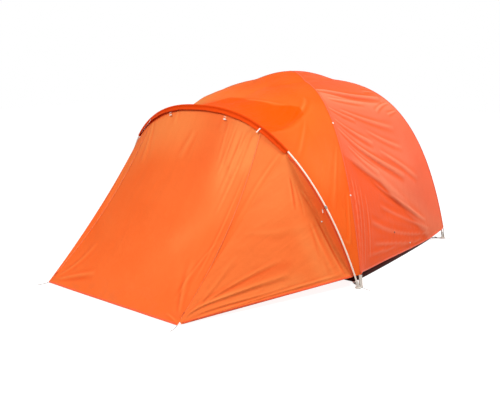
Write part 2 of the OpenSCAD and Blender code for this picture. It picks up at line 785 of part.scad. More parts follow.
// The loop reaches over the edge strip and stays out of the side door's way.
tie_drop = 30;
tie_in = -8;
tie_out = 44;
loop_w = 6;
loop_t = 1.2;
tie_p = on_door(clip_p[2] - tie_drop, tie_in, tie_out);
tie_dir = unit(tie_p - clip_p);
module pole_clip() {
    place(clip_p, tan_len(2, clip_s))
        difference() {
            cylinder(r = pole_r + fit_gap + clip_wall, h = clip_len, center = true);
            cylinder(r = pole_r + fit_gap + 0.2, h = clip_len + 2, center = true);
        }
}
module pole_clip_right() {
    color("gray") pole_clip();
}
module pole_clip_left() {
    color("gray") mirror([1, 0, 0]) pole_clip();
}
module clip_loop() {
    axis = tan_len(2, clip_s);
    slant = abs(tie_dir * axis);
    start = (pole_r + 2 * fit_gap + clip_wall + loop_w / 2 * slant) / sqrt(1 - slant * slant);
    side = unit(cross(tie_dir, door_n));
    frame(clip_p + start * tie_dir, side, tie_dir, cross(side, tie_dir))
        translate([-loop_w / 2, 0, -loop_t / 2])
            cube([loop_w, norm(tie_p - clip_p) - start - toggle_d / 2 - 0.4, loop_t]);
}
module clip_loop_right() {
    color("darkred") clip_loop();
}
module clip_loop_left() {
    color("darkred") mirror([1, 0, 0]) clip_loop();
}
// The toggle hangs down the door's face from the loop's end.
door_fall = perp([0, 0, -1], door_n);
module side_toggle() {
    place(tie_p + (toggle_len / 2 - toggle_d / 2) * door_fall, door_fall) toggle_bar();
}
module side_toggle_right() {
    color("whitesmoke") side_toggle();
}
module side_toggle_left() {
    color("whitesmoke") mirror([1, 0, 0]) side_toggle();
}
door_toggle_z = 435;
door_toggle_in = 52;
toggle_base_r = 5;
toggle_base_h = 3;
toggle_stem_h = 5;
module door_toggle() {
    place(on_door(door_toggle_z, door_toggle_in, fit_gap / 2), door_n) {
        cylinder(r = toggle_base_r, h = toggle_base_h);
        translate([0, 0, toggle_base_h]) cylinder(r = toggle_d / 2, h = toggle_stem_h);
    }
}
module door_toggle_right() {
    color("whitesmoke") door_toggle();
}
module door_toggle_left() {
    color("whitesmoke") mirror([1, 0, 0]) door_toggle();
}

// ---- zips of the front panel, along the creases ----
coil_w = 6;
coil_t = 1.8;
zip_lift = 2.4;
zip_start = 0.03;
zip_end = 0.97;
zip_cells = 12;
function crease_tan(v) = unit(crease(v + 0.01) - crease(v - 0.01));
// The way out of the cloth at the crease, halfway between the panel's and the gusset's.
function crease_out(v) =
    let (t = crease_tan(v), side = lerp(vest_corner, door_top, v) - crease(v))
    unit(unit(cross([1, 0, 0], t)) + unit(cross(side, t)));
function crease_side(v) = cross(crease_tan(v), crease_out(v));
function zip_ring(v) =
    let (p = crease(v) + zip_lift * crease_out(v))
    [for (q = [[-1, 0], [1, 0], [1, 1], [-1, 1]])
        p + q[0] * coil_w / 2 * crease_side(v) + q[1] * coil_t * crease_out(v)];
module door_zip() {
    solid_sweep([for (i = [0:zip_cells]) zip_ring(lerp(zip_start, zip_end, i / zip_cells))]);
}
module door_zip_right() {
    color([0.85, 0.3, 0.1]) door_zip();
}
module door_zip_left() {
    color([0.85, 0.3, 0.1]) mirror([1, 0, 0]) door_zip();
}
slider_v = 0.06;
slider_gap = 1.4;
slider_size = [9, 14, 3.5];
post_r = 2.5;
post_h = 2;
puller_size = [5, 24, 1.4];
puller_end = 26;
module zip_slider() {
    v = slider_v;
    n = crease_out(v);
    frame(crease(v) + (zip_lift + coil_t + slider_gap) * n, crease_side(v), crease_tan(v), n) {
        translate([-slider_size[0] / 2, -slider_size[1] / 2, 0]) cube(slider_size);
        translate([0, 0, slider_size[2]]) cylinder(r = post_r, h = post_h);
        translate([-puller_size[0] / 2, -puller_end, slider_size[2] + 0.1]) cube(puller_size);
    }
}
module zip_slider_right() {
    color("dimgray") zip_slider();
}
module zip_slider_left() {
    color("dimgray") mirror([1, 0, 0]) zip_slider();
}

// ---- inner tent ----
floor_pts = [flat(tub_front), flat(tub_rear), flat(flip_x(tub_rear)), flat(flip_x(tub_front))];
function inset_corner(p, d) = [p[0] - sgn(p[0]) * d, p[1] - sgn(p[1] - cross_y) * d];
module tub_floor() {
    color([0.3, 0.06, 0.03])
        difference() {
            linear_extrude(tub_h - 0.3) polygon(floor_pts);
            translate([0, 0, inner_t + 0.5])
                linear_extrude(tub_h) polygon([for (p = floor_pts) inset_corner(p, inner_t + 0.5)]);
        }
}
inner_cross_t = dome_cross_t(-inner_off);
door_sill = 45;
wall_top = tub_h + door_sill + door_h + wall_head;
function wall_t(rear) = dome_t(wall_top, -inner_off, 0, rear);
wall_cells = 4;
inner_cells = 13;
function inner_stop(i, rear) =
    i <= wall_cells ? lerp(tub_t(rear), wall_t(rear), i / wall_cells)
        : lerp(wall_t(rear), rear ? 180 - inner_cross_t : inner_cross_t,
            (i - wall_cells) / (inner_cells - wall_cells));
// The front legs run straight from the tub to the top of the flat wall.
function inner_front_of_t(t) =
    let (t0 = tub_t(false), t1 = wall_t(false))
    t < t1 ? lerp(inner_ridge(t0, 1), inner_ridge(t1, 1), (t - t0) / (t1 - t0)) : inner_ridge(t, 1);
function inner_front(i) = inner_front_of_t(inner_stop(i, false));
function inner_back(i) =
    inner_ridge(i == inner_cells ? inner_cross_t : inner_stop(i, true), -1);
inner_us = [0, 0.25, 0.5, 0.75, 1];
module inner_side() {
    shell([for (i = [0:inner_cells]) [for (u = inner_us) lerp(inner_front(i), inner_back(i), u)]],
        inner_t, true);
}
module inner_right() {
    color([0.8, 0.78, 0.74]) inner_side();
}
module inner_left() {
    color([0.8, 0.78, 0.74]) mirror([1, 0, 0]) inner_side();
}
module inner_rear() {
    color([0.76, 0.74, 0.7])
        shell([for (i = [0:inner_cells])
            [for (u = inner_us) lerp(inner_back(i), flip_x(inner_back(i)), u)]], inner_t, true);
}
module inner_front_roof() {
    color([0.82, 0.8, 0.76])
        shell([for (i = [wall_cells:inner_cells])
            [for (u = inner_us) lerp(flip_x(inner_front(i)), inner_front(i), u)]], inner_t, true);
}
// Flat front wall, with the doorway and its zip.
wall_low = inner_front(0);
wall_high = inner_front(wall_cells);
wall_rise = [0, wall_high[1] - wall_low[1], wall_high[2] - wall_low[2]];
wall_len = norm(wall_rise);
wall_up = unit(wall_rise);
wall_gap = inner_t + 0.3;
door_play = 1;
module in_wall() {
    frame([0, wall_low[1], wall_low[2]], [1, 0, 0], wall_up, cross([1, 0, 0], wall_up)) children();
}
module door_outline(g) {
    x = door_w / 2 + g;
    y0 = door_sill - g;
    y1 = door_sill + door_h + g;
    r = door_r + g;
    translate([-x, y0]) square([2 * x - r, y1 - y0]);
    translate([-x, y0]) square([2 * x, y1 - y0 - r]);
    translate([x - r, y1 - r]) circle(r = r);
}
module inner_front_wall() {
    a = wall_low[0] - wall_gap;
    b = wall_high[0] - wall_gap;
    color([0.78, 0.76, 0.72])
        in_wall() translate([0, 0, -inner_t]) linear_extrude(inner_t)
            difference() {
                polygon([[-a, 0.5], [a, 0.5], [b, wall_len - wall_gap], [-b, wall_len - wall_gap]]);
                door_outline(door_play + zip_w + 0.2);
            }
}
module inner_zip() {
    color("dimgray")
        in_wall() translate([0, 0, -inner_t]) linear_extrude(inner_t)
            difference() {
                door_outline(door_play + zip_w);
                door_outline(door_play);
            }
}
module inner_door() {
    color([0.85, 0.83, 0.8])
        in_wall() translate([0, 0, -inner_t]) linear_extrude(inner_t) door_outline(0);
}
inner_slider_y = 30;
inner_slider_size = [6, 12, 3.5];
inner_puller_size = [4, 24, 1.4];
module inner_zip_slider() {
    color("black")
        in_wall()
            translate([door_w / 2 + door_play + zip_w / 2, door_sill + inner_slider_y, fit_gap]) {
                translate([-inner_slider_size[0] / 2, -inner_slider_size[1] / 2, 0])
                    cube(inner_slider_size);
                translate([-inner_puller_size[0] / 2, -inner_puller_size[1], inner_slider_size[2] + 0.2])
                    cube(inner_puller_size);
            }
}
// Hooks that hang the canopy from the dome poles, one near each section joint.
hook_w = 12;
hook_strap = 9;
hook_tape = 1.6;
hook_stop = 1.2;
hook_wall = 1.2;
hook_play = 0.5;
function hook_s(kind, i) = section_stops(kind, dome_sections, i)[1];
module canopy_hook(kind, i) {
    side = kind == 0 ? 1 : -1;
    s = hook_s(kind, i);
    p = at_len(kind, s);
    t = lookup(s, TABLE[kind]);
    in = t < 90 ? inner_front_of_t(t) : inner_ridge(t, 1);
    q = side > 0 ? in : flip_x(in);
    d = unit(q - p);
    w = perp(tan_len(kind, s), d);
    difference() {
        union() {
            place(p, tan_len(kind, s))
                rotate(90) cylinder(r = pole_r + hook_play + hook_wall, h = hook_w, center = true);
            frame(p + pole_r * d, w, cross(d, w), d)
                translate([-hook_strap / 2, -hook_tape / 2, 0])
                    cube([hook_strap, hook_tape, norm(q - p) - pole_r - hook_stop]);
        }
        place(p, tan_len(kind, s))
            rotate(90) cylinder(r = pole_r + hook_play, h = 3 * hook_w, center = true);
    }
}
module canopy_hooks() {
    color("black")
        for (kind = [0, 1]) for (i = [1:dome_sections - 1]) canopy_hook(kind, i);
}

// ---- small fittings on the fly ----
tab_r = 6.5;
tab_h = 3.5;
// The panels' facets lie inside the true curve of the ridge, so a tab sits a little inside it.
tab_sink = 0.1;
clip_heights = [610, 1085];
rear_clip_z = 560;
tab_row = 0.05;
tab_look = 0.02;
// A tab sits on the ridge at the height z, square to the line halfway between the two panels.
module ridge_tab(z, rear) {
    i = rows_up * (dome_t(z, ridge_off, hub_step, rear) - fly_hem_t(rear))
        / ((rear ? 180 - fly_cross_t : fly_cross_t) - fly_hem_t(rear));
    u = rear ? 1 : 0;
    p = right_pt(u, i);
    up = unit(right_pt(u, i + tab_row) - right_pt(u, i - tab_row));
    a = right_pt(rear ? 1 - tab_look : tab_look, i) - p;
    b = (rear ? rear_pt(tab_look, i) : roof_pt(i, 1 - tab_look)) - p;
    n = perp(-perp(a, up) - perp(b, up), up);
    place(p - tab_sink * n, n) cylinder(r = tab_r, h = tab_h);
}
module ridge_clips() {
    color("whitesmoke")
        both() {
            for (z = clip_heights) ridge_tab(z, false);
            ridge_tab(rear_clip_z, true);
        }
}
// Places on the side panel: [share of the way from the front leg, rows up from the hem].
eyelet_at = [0.47, 1.1];
button_at = [0.64, 0.3];
side_seat = 0.1;
// Moves children to that place, with +Z straight out of the cloth.
module on_side(at) {
    du = right_pt(at[0] + 0.01, at[1]) - right_pt(at[0] - 0.01, at[1]);
    dv = right_pt(at[0], at[1] + 0.1) - right_pt(at[0], at[1] - 0.1);
    n = unit(cross(du, dv));
    place(right_pt(at[0], at[1]) + side_seat * n, n) children();
}
eyelet_r = 6;
eyelet_hole = 3;
eyelet_h = 2.2;
button_h = 5;
module side_fittings() {
    both() {
        color("black")
            on_side(eyelet_at)
                difference() {
                    cylinder(r = eyelet_r, h = eyelet_h);
                    translate([0, 0, -1]) cylinder(r = eyelet_hole, h = eyelet_h + 2);
                }
        color("whitesmoke") on_side(button_at) cylinder(r = toggle_d / 2 + 1, h = button_h);
    }
}
// Webbing from each foot up to the fly's corner, outside the pole's socket.
module corner_tab(p, foot) {
    out = unit([sgn(p[0]) * diag_dir[0], sgn(p[1] - cross_y) * abs(diag_dir[1])]);
    low = [foot[0] + (socket_r + 2) * out[0], foot[1] + (socket_r + 2) * out[1], pad_h + fit_gap];
    up = p - [0, 0, 1] - low;
    side = [-out[1], out[0], 0];
    frame(low, side, unit(cross(unit(up), side)), unit(up))
        translate([-strap_w / 2, -strap_t, 0]) cube([strap_w, strap_t, norm(up)]);
}
module corner_tabs() {
    color("silver")
        both() {
            corner_tab(front_ridge(0), foot_a);
            corner_tab(rear_ridge(0), [-foot_b[0], foot_b[1]]);
        }
}

// ---- corner cords, as routes on the ground, right side ----
front_route = [
    [1165.1, -164, 3.8], [1172, -164, 3.8], [1181, -165, 3.4], [1190, -166, 2.6], [1202, -168, 2],
    [1214, -170, 1.6], [1226, -173, 1.6], [1238, -177, 1.6], [1248, -182, 1.6]
];
rear_route = [
    [1059, 1229, 28.6], [1066, 1241, 25], [1071, 1251, 23.5], [1076, 1262, 22], [1083, 1274, 20], [1089, 1286, 18], [1094, 1298, 16.5],
    [1099, 1310, 15], [1104, 1322, 14], [1109, 1334, 13], [1114, 1346, 12],
    [1119, 1358, 11], [1123, 1370, 10], [1127, 1382, 9], [1130, 1394, 8],
    [1133, 1405, 7], [1137, 1415, 6], [1142, 1424, 4.5], [1148, 1433, 3],
    [1154, 1442, 2], [1160, 1451, 1.6]
];
hem_route = [
    [630, -1435.2, 6], [632, -1446, 4], [635, -1456, 2.2], [639, -1468, 1.6],
    [643, -1480, 1.6], [647, -1492, 1.6], [650, -1504, 1.6], [652, -1515, 1.6]
];
cord_sides = 8;
function route_tan(r, i) = unit(r[min(i + 1, len(r) - 1)] - r[max(i - 1, 0)]);
function cord_ring(r, i) =
    let (t = route_tan(r, i), s = unit(cross(t, [0, 0, 1])), n = cross(s, t))
    [for (q = round_prof(cord_d / 2, cord_sides)) r[i] + q[0] * n - q[1] * s];
module cord(r) {
    solid_sweep([for (i = [0:len(r) - 1]) cord_ring(r, i)]);
}
module cord_front_right() {
    color("gray") cord(front_route);
}
module cord_front_left() {
    color("gray") mirror([1, 0, 0]) cord(front_route);
}
module cord_rear_right() {
    color("darkred") cord(rear_route);
}
module cord_rear_left() {
    color("darkred") mirror([1, 0, 0]) cord(rear_route);
}
module cord_hem_right() {
    color("dimgray") cord(hem_route);
}
module cord_hem_left() {
    color("dimgray") mirror([1, 0, 0]) cord(hem_route);
}

hoop_pole();
dome_pole_a();
dome_pole_b();
brow_pole();
ferrules();
pole_tips();
shock_cord();
pole_hub();
foot_front_right();
foot_front_left();
foot_rear_right();
foot_rear_left();
floor_straps();
strap_buckles();
tub_floor();
inner_front_wall();
inner_front_roof();
inner_right();
inner_left();
inner_rear();
inner_door();
inner_zip();
inner_zip_slider();
canopy_hooks();
fly_front_roof();
fly_right();
fly_left();
fly_rear();
hoop_sleeve();
front_panel();
gusset_right();
gusset_left();
side_door_right();
side_door_left();
edge_strip_right();
edge_strip_left();
door_zip_right();
door_zip_left();
zip_slider_right();
zip_slider_left();
sleeve_straps();
rollup_toggle_right();
rollup_toggle_left();
pole_clip_right();
pole_clip_left();
clip_loop_right();
clip_loop_left();
side_toggle_right();
side_toggle_left();
door_toggle_right();
door_toggle_left();
ridge_clips();
side_fittings();
corner_tabs();
cord_front_right();
cord_front_left();
cord_rear_right();
cord_rear_left();
cord_hem_right();
cord_hem_left();
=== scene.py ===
import math
import bpy
import bmesh
import numpy as np
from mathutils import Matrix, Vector


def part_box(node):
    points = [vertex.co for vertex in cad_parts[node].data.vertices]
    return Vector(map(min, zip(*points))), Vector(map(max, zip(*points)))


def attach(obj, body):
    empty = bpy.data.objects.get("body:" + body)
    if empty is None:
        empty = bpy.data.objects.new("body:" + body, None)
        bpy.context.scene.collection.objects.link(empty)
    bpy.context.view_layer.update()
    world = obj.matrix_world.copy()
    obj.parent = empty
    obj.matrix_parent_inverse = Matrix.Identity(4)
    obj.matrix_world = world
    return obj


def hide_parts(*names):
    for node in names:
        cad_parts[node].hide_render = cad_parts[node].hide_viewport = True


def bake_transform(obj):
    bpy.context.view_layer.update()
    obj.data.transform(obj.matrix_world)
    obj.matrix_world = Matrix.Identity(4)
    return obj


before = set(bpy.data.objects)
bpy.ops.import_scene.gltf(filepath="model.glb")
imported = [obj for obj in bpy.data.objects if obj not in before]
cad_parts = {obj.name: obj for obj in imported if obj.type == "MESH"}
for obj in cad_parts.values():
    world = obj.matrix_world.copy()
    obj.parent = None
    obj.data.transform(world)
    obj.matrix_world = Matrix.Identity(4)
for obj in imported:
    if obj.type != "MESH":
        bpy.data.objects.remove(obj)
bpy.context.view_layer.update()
ROOT = "tent"
MM = 0.001


# ---------- camera, at the photograph's viewing angle ----------
camera = bpy.data.objects.new("camera", bpy.data.cameras.new("camera"))
bpy.context.scene.collection.objects.link(camera)
camera.data.sensor_width = 36.0
camera.data.lens = 48.84
camera.location = (3.300, -4.155, 1.601)
camera.rotation_euler = (math.pi / 2 - math.radians(12.36), 0, math.radians(37.944))
camera.data.clip_end = 60
bpy.context.scene.camera = camera


# ---------- shape of the tent, in millimetres, as part.scad has it ----------
FOOT_A = np.array([1150.0, -149.0])
FOOT_B = np.array([-1100.0, 1415.0])
DIAG = np.linalg.norm(FOOT_A - FOOT_B)
DIAG_DIR = (FOOT_A - FOOT_B) / DIAG
DIAG_MID = (FOOT_A + FOOT_B) / 2
DOME_H, DOME_T0, FRONT_N, REAR_N = 1348.0, 38.0, 2.6, 3.4
FOOT_RISE, HUB_STEP, RIDGE_OFF, INNER_OFF = 14.0, 16.0, 18.0, 80.0
HOOP_HALF, HOOP_LEN, HOOP_N, HOOP_T0, HOOP_LEAN = 1150.0, 1250.0, 2.45, 24.0, 15.3
Y_FOOT, Y_HEM = -181.0, -1435.0
HEM_Z, HEM_FRONT, HEM_REAR = 88.0, 36.0, 12.0
SEAM_OFF, POLE_R = 10.1, 5.5
SLEEVE_X, ZIP_X, VALANCE, VALANCE_TILT = 715.0, 530.0, 52.0, 63.0
CREASE_SAG, PANEL_SAG, REAR_SAG = 85.0, 28.0, 14.0
CLOTH_CENTRE = np.array([0.0, 250.0, 250.0])


def rad(d):
    return np.radians(d)


def unit(v):
    return v / np.maximum(np.linalg.norm(v, axis=-1, keepdims=True), 1e-9)


def flip(p):
    return p * np.array([-1.0, 1.0, 1.0])


def on_side(p, sign):
    """The points on the right side, or mirrored to the left for sign -1."""
    return p if sign > 0 else flip(p)


def lerp(a, b, k):
    k = np.asarray(k, float)[..., None]
    return a + (b - a) * k


def arch(t, half, h, t0, n):
    t = np.asarray(t, float)
    s, s0 = np.sin(rad(t)) ** (2 / n), math.sin(rad(t0)) ** (2 / n)
    c = np.cos(rad(t))
    return np.where(c < 0, -1, 1) * half * (np.abs(c) / math.cos(rad(t0))) ** (2 / n), h * (s - s0) / (1 - s0)


def dome(t, side, grow=0.0, step=0.0):
    t = np.asarray(t, float)
    h = DOME_H - FOOT_RISE + step + grow
    n = np.where(t < 90, FRONT_N, REAR_N)
    s, s0 = np.sin(rad(t)) ** (2 / n), math.sin(rad(DOME_T0)) ** (2 / n)
    c = np.cos(rad(t))
    x = np.where(c < 0, -1, 1) * (DIAG / 2 + grow) * (np.abs(c) / math.cos(rad(DOME_T0))) ** (2 / n)
    z = FOOT_RISE + h * (s - s0) / (1 - s0)
    return np.stack([side * (DIAG_MID[0] + DIAG_DIR[0] * x), DIAG_MID[1] + DIAG_DIR[1] * x, z], -1)


def dome_t(z, grow, step, rear):
    h = DOME_H - FOOT_RISE + step + grow
    n = REAR_N if rear else FRONT_N
    s0 = math.sin(rad(DOME_T0)) ** (2 / n)
    t = math.degrees(math.asin((s0 + (z - FOOT_RISE) / h * (1 - s0)) ** (n / 2)))
    return 180 - t if rear else t


CROSS_A = -DIAG_MID[0] / DIAG_DIR[0]
CROSS_Y = DIAG_MID[1] + DIAG_DIR[1] * CROSS_A


def cross_t(grow):
    n = FRONT_N if CROSS_A > 0 else REAR_N
    k = math.cos(rad(DOME_T0)) * math.copysign(1, CROSS_A) * (abs(CROSS_A) / (DIAG / 2 + grow)) ** (n / 2)
    return math.degrees(math.acos(k))


LEAN = rad(HOOP_LEAN)
HOOP_NORMAL = np.array([0, -math.cos(LEAN), -math.sin(LEAN)])


def hoop(t, grow=0.0):
    x, z = arch(t, HOOP_HALF + grow, HOOP_LEN + grow, HOOP_T0, HOOP_N)
    return np.stack([x, Y_FOOT - z * math.sin(LEAN), FOOT_RISE + z * math.cos(LEAN)], -1)


def hoop_out(t):
    return unit(np.cross(unit(hoop(t + 0.5) - hoop(t - 0.5)), HOOP_NORMAL))


def in_hoop(t, a, b):
    return hoop(t) + np.asarray(a)[..., None] * hoop_out(t) + np.asarray(b)[..., None] * HOOP_NORMAL


def seam(t):
    return hoop(t, -SEAM_OFF)


def t_of_x(x, half):
    return math.degrees(math.acos(math.cos(rad(HOOP_T0)) * (x / half) ** (HOOP_N / 2)))


def arch_t_of_z(z, h):
    s0 = math.sin(rad(HOOP_T0)) ** (2 / HOOP_N)
    return math.degrees(math.asin((s0 + z / h * (1 - s0)) ** (HOOP_N / 2)))


SEAM_HALF = HOOP_HALF - SEAM_OFF
T_HEM = arch_t_of_z((HEM_Z - FOOT_RISE) / math.cos(LEAN), HOOP_LEN - SEAM_OFF)
T_DOOR, T_ZIP = t_of_x(SLEEVE_X, SEAM_HALF), t_of_x(ZIP_X, SEAM_HALF)
SEAM_V = [0, 0.5, 0.625, 1, 1.375, 1.5, 2]
SEAM_T = [T_HEM, T_DOOR, T_ZIP, 90, 180 - T_ZIP, 180 - T_DOOR, 180 - T_HEM]


def seam_at(s):
    """The seam under the hoop, s from 0 at the right hem through 1 at the top to 2."""
    return seam(np.interp(s, SEAM_V, SEAM_T))


LIFT_X, LIFT_Y, LIFT_POWER, BROW_RISE, BROW_BACK = 300.0, 470.0, 1.2, 58.0, 60.0


def lift(p):
    q = (p[..., 0] / LIFT_X) ** 2 + ((p[..., 1] - CROSS_Y - BROW_BACK) / LIFT_Y) ** 2
    out = p.copy()
    out[..., 2] += BROW_RISE * np.clip(1 - q, 0, 1) ** LIFT_POWER
    return out


FLY_CROSS = cross_t(RIDGE_OFF)
FLY_T = {r: dome_t(HEM_Z, RIDGE_OFF, HUB_STEP, r) for r in (False, True)}


def front_ridge(v):
    return dome(FLY_T[False] + (FLY_CROSS - FLY_T[False]) * np.asarray(v, float), 1, RIDGE_OFF, HUB_STEP)


def rear_ridge(v):
    return dome(FLY_T[True] + (FLY_CROSS - FLY_T[True]) * np.asarray(v, float), -1, RIDGE_OFF, HUB_STEP)


def sagged(p, amount):
    return p + np.asarray(amount)[..., None] * unit(CLOTH_CENTRE - p)


def hem_shift(u, z, v, out):
    k = (1 - np.abs(2 * u - 1) ** 8) ** 2
    f = (1 - v) ** 5
    d = np.stack([out[0] + 0 * u, out[1] + 0 * u, z - HEM_Z + 0 * u], -1)
    return (f * k)[..., None] * d


def sag_weight(v):
    return np.where(v < 0.75, np.sin(np.pi * v / 0.75), 0)


def side_pt(u, v):
    p = lerp(front_ridge(v), rear_ridge(v), u)
    p = p + hem_shift(u, HEM_FRONT + (HEM_REAR - HEM_FRONT) * u, v, [-62, 0])
    return lift(sagged(p, PANEL_SAG * 4 * u * (1 - u) * sag_weight(v)))


def rear_pt(u, v):
    r = rear_ridge(v)
    p = lerp(r, flip(r), u) + hem_shift(u, HEM_REAR, v, [0, -22])
    return lift(sagged(p, REAR_SAG * 4 * u * (1 - u) * sag_weight(v)))


def roof_pt(s, v):
    r = front_ridge(1 - np.abs(1 - s))
    r = np.where((s > 1)[..., None], flip(r), r)
    w = np.where(v < 0.6, np.sin(np.pi * np.clip(v / 0.6, 0, 1)) * np.sin(np.pi / 2 * (1 - np.abs(1 - s))), 0)
    return lift(sagged(lerp(seam_at(s), r, v), PANEL_SAG * w))


CORNER = np.array([630.0, Y_HEM, 6.0])
ZIP_TOP, DOOR_TOP, DOOR_FOOT = seam(T_ZIP), seam(T_DOOR), seam(T_HEM)
CREASE_DIR = unit(ZIP_TOP - CORNER)
CREASE_IN = unit(np.array([0, 1.0, 0]) - CREASE_DIR[1] * CREASE_DIR)
DOOR_X = unit(DOOR_TOP - CORNER)
DOOR_N = unit(np.cross(DOOR_FOOT - CORNER, DOOR_TOP - CORNER))
DOOR_Y = np.cross(DOOR_N, DOOR_X)
DOOR_SIDE = math.copysign(1, float((DOOR_FOOT - CORNER) @ DOOR_Y))


def crease(v):
    v = np.asarray(v, float)
    return lerp(CORNER, ZIP_TOP, v) + (CREASE_SAG * 4 * v * (1 - v))[..., None] * CREASE_IN


# ---------- meshes ----------
def add(name, verts, faces, material, body=ROOT, uv=None, attrs=None, weld=True):
    """A mesh piece from points in millimetres, on a CAD body."""
    me = bpy.data.meshes.new(name)
    me.from_pydata((np.asarray(verts, float).reshape(-1, 3) * MM).tolist(), [], [list(f) for f in faces])
    if uv is not None:
        loops = np.zeros(len(me.loops), np.int32)
        me.loops.foreach_get("vertex_index", loops)
        layer = me.uv_layers.new(name="weave")
        layer.data.foreach_set("uv", (np.asarray(uv, float).reshape(-1, 2)[loops] * MM).ravel())
    for key, values in (attrs or {}).items():
        me.attributes.new(key, "FLOAT", "POINT").data.foreach_set("value", np.asarray(values, np.float32).ravel())
    if weld:
        bm = bmesh.new()
        bm.from_mesh(me)
        bmesh.ops.remove_doubles(bm, verts=bm.verts, dist=1e-4)
        bm.to_mesh(me)
        bm.free()
    me.polygons.foreach_set("use_smooth", [True] * len(me.polygons))
    me.materials.append(material)
    o = bpy.data.objects.new(name, me)
    bpy.context.scene.collection.objects.link(o)
    if body:
        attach(o, body)
    return o


def tube_faces(rows, cols):
    """The faces around closed rows of points, with both ends closed."""
    return grid_faces(rows, cols, wrap=True) + [tuple(range(cols))[::-1],
                                                tuple((rows - 1) * cols + i for i in range(cols))]


def tube_uv(run, around):
    return np.stack([np.repeat(run[:, None], len(around), 1), np.repeat(around[None], len(run), 0)], -1)


def grid_faces(rows, cols, wrap=False):
    out = []
    last = cols if wrap else cols - 1
    for j in range(rows - 1):
        for i in range(last):
            a, b = j * cols + i, j * cols + (i + 1) % cols
            out.append((a, b, b + cols, a + cols))
    return out


def normals(p):
    du = np.gradient(p, axis=1)
    dv = np.gradient(p, axis=0)
    n = np.cross(du, dv)
    bad = np.linalg.norm(n, axis=-1) < 1e-6
    n[bad] = unit(p - CLOTH_CENTRE)[bad]
    n = unit(n)
    out = np.sum(n * (p - CLOTH_CENTRE), -1) < 0
    n[out] *= -1
    return n


def run_of(line):
    """The distance along a line of points, from 0."""
    return np.concatenate([[0], np.cumsum(np.linalg.norm(np.diff(line, axis=0), axis=1))])


def metric_uv(p):
    """Flat coordinates of a grid of points, in millimetres, along its rows and columns."""
    du = np.linalg.norm(np.diff(p, axis=1), axis=-1)
    dv = np.linalg.norm(np.diff(p, axis=0), axis=-1)
    u = np.concatenate([np.zeros((p.shape[0], 1)), np.cumsum(du, 1)], 1)
    u = u - u[:, -1:] / 2
    v = np.concatenate([np.zeros(1), np.cumsum(dv.max(1))])
    return np.stack([u, np.repeat(v[:, None], p.shape[1], 1)], -1)


def grid(nu, nv, u0=0.0, u1=1.0, v0=0.0, v1=1.0):
    u, v = np.meshgrid(np.linspace(u0, u1, nu), np.linspace(v0, v1, nv))
    return u, v


def cloth(name, p, material, body=ROOT, glow=None, deep=None):
    """A grid of points as cloth that faces away from the tent; glow and deep are its painted light and painted shade.
    """
    faces = grid_faces(p.shape[0], p.shape[1])
    n = np.cross(p[1, 1] - p[1, 0], p[2, 1] - p[1, 1])
    if n @ (p[1, 1] - CLOTH_CENTRE) < 0:
        faces = [f[::-1] for f in faces]
    attrs = {} if glow is None else {"glow": np.clip(glow, 0, 1), "deep": np.clip(deep, 0, 1)}
    return add(name, p, faces, material, body, metric_uv(p), attrs)


def fold(p, n, surface, path, w0, w1, depth, bias=0.0, ends=0.5):
    """A tension fold along a path on a surface, w0 to w1 mm wide, as an outward move.
    The bias deepens the valley on one side."""
    path = np.array(path, float)
    k = np.linspace(0, 1, 25)
    node = np.linspace(0, 1, len(path))
    if len(path) > 2:
        fit = np.polyfit(node, path, min(len(path) - 1, 3))
        uv = sum(fit[i][None] * (k[:, None] ** (len(fit) - 1 - i)) for i in range(len(fit)))
    else:
        uv = path[0] + (path[1] - path[0]) * k[:, None]
    line = surface(uv[:, 0], uv[:, 1])
    run = run_of(line)
    flat, nn = p.reshape(-1, 3), n.reshape(-1, 3)
    best = np.full(len(flat), 1e9)
    along, across = np.zeros(len(flat)), np.zeros(len(flat))
    for i in range(len(line) - 1):
        a, d = line[i], line[i + 1] - line[i]
        length = np.linalg.norm(d)
        d = d / length
        s = np.clip((flat - a) @ d, -40 if i == 0 else 0, length + (40 if i == len(line) - 2 else 0))
        r = flat - a - s[:, None] * d
        dist = np.linalg.norm(r, axis=1)
        side = np.sum(r * np.cross(d, nn), 1)
        hit = dist < best
        best[hit], along[hit] = dist[hit], (run[i] + s[hit]) / run[-1]
        across[hit] = np.copysign(dist[hit], side[hit])
    x = across / (w0 + (w1 - w0) * np.clip(along, 0, 1))
    near = np.clip(along, 0, 1)
    taper = np.sin(np.pi * np.clip(near, 0, 1)) ** ends * ((along > 0) & (along < 1))
    shape = (np.exp(-x ** 2) - (0.4 + bias) * np.exp(-((x - 1.6) ** 2) / 1.3)
             - (0.4 - bias) * np.exp(-((x + 1.6) ** 2) / 1.3))
    return (depth * taper * shape).reshape(p.shape[:-1])


def folds(p, n, surface, rows, wide=1.0, deep=1.0):
    """The sum of several folds: (path, w0, w1, depth[, bias])."""
    return sum(fold(p, n, surface, path, wide * w0, wide * w1, deep * depth, *bias)
               for path, w0, w1, depth, *bias in rows)


def ripple(p, seed, size, amount):
    """Slack in the cloth: a few long soft waves in fixed directions."""
    rng = np.random.RandomState(seed)
    out = np.zeros(p.shape[:-1])
    for _ in range(7):
        k = rng.normal(size=3)
        k = k / np.linalg.norm(k) * 2 * math.pi / (size * rng.uniform(0.6, 1.7))
        out += np.sin(p @ k + rng.uniform(0, 6.28))
    return amount * out / 7


RELIEF_REACH = 7


def relief(move, height=3.0):
    """The folds' ridges and valleys, each 0 to 1: the move against its own blur over a few cells."""
    k = np.hanning(2 * RELIEF_REACH + 3)[1:-1]
    k = k / k.sum()
    soft = move
    for axis in (0, 1):
        soft = np.apply_along_axis(lambda row: np.convolve(np.pad(row, RELIEF_REACH, "edge"), k, "valid"), axis, soft)
    d = (move - soft) / height
    return np.clip(d, 0, 1), np.clip(-d, 0, 1)


def soft_step(x, low, high):
    k = np.clip((x - low) / (high - low), 0, 1)
    return k * k * (3 - 2 * k)


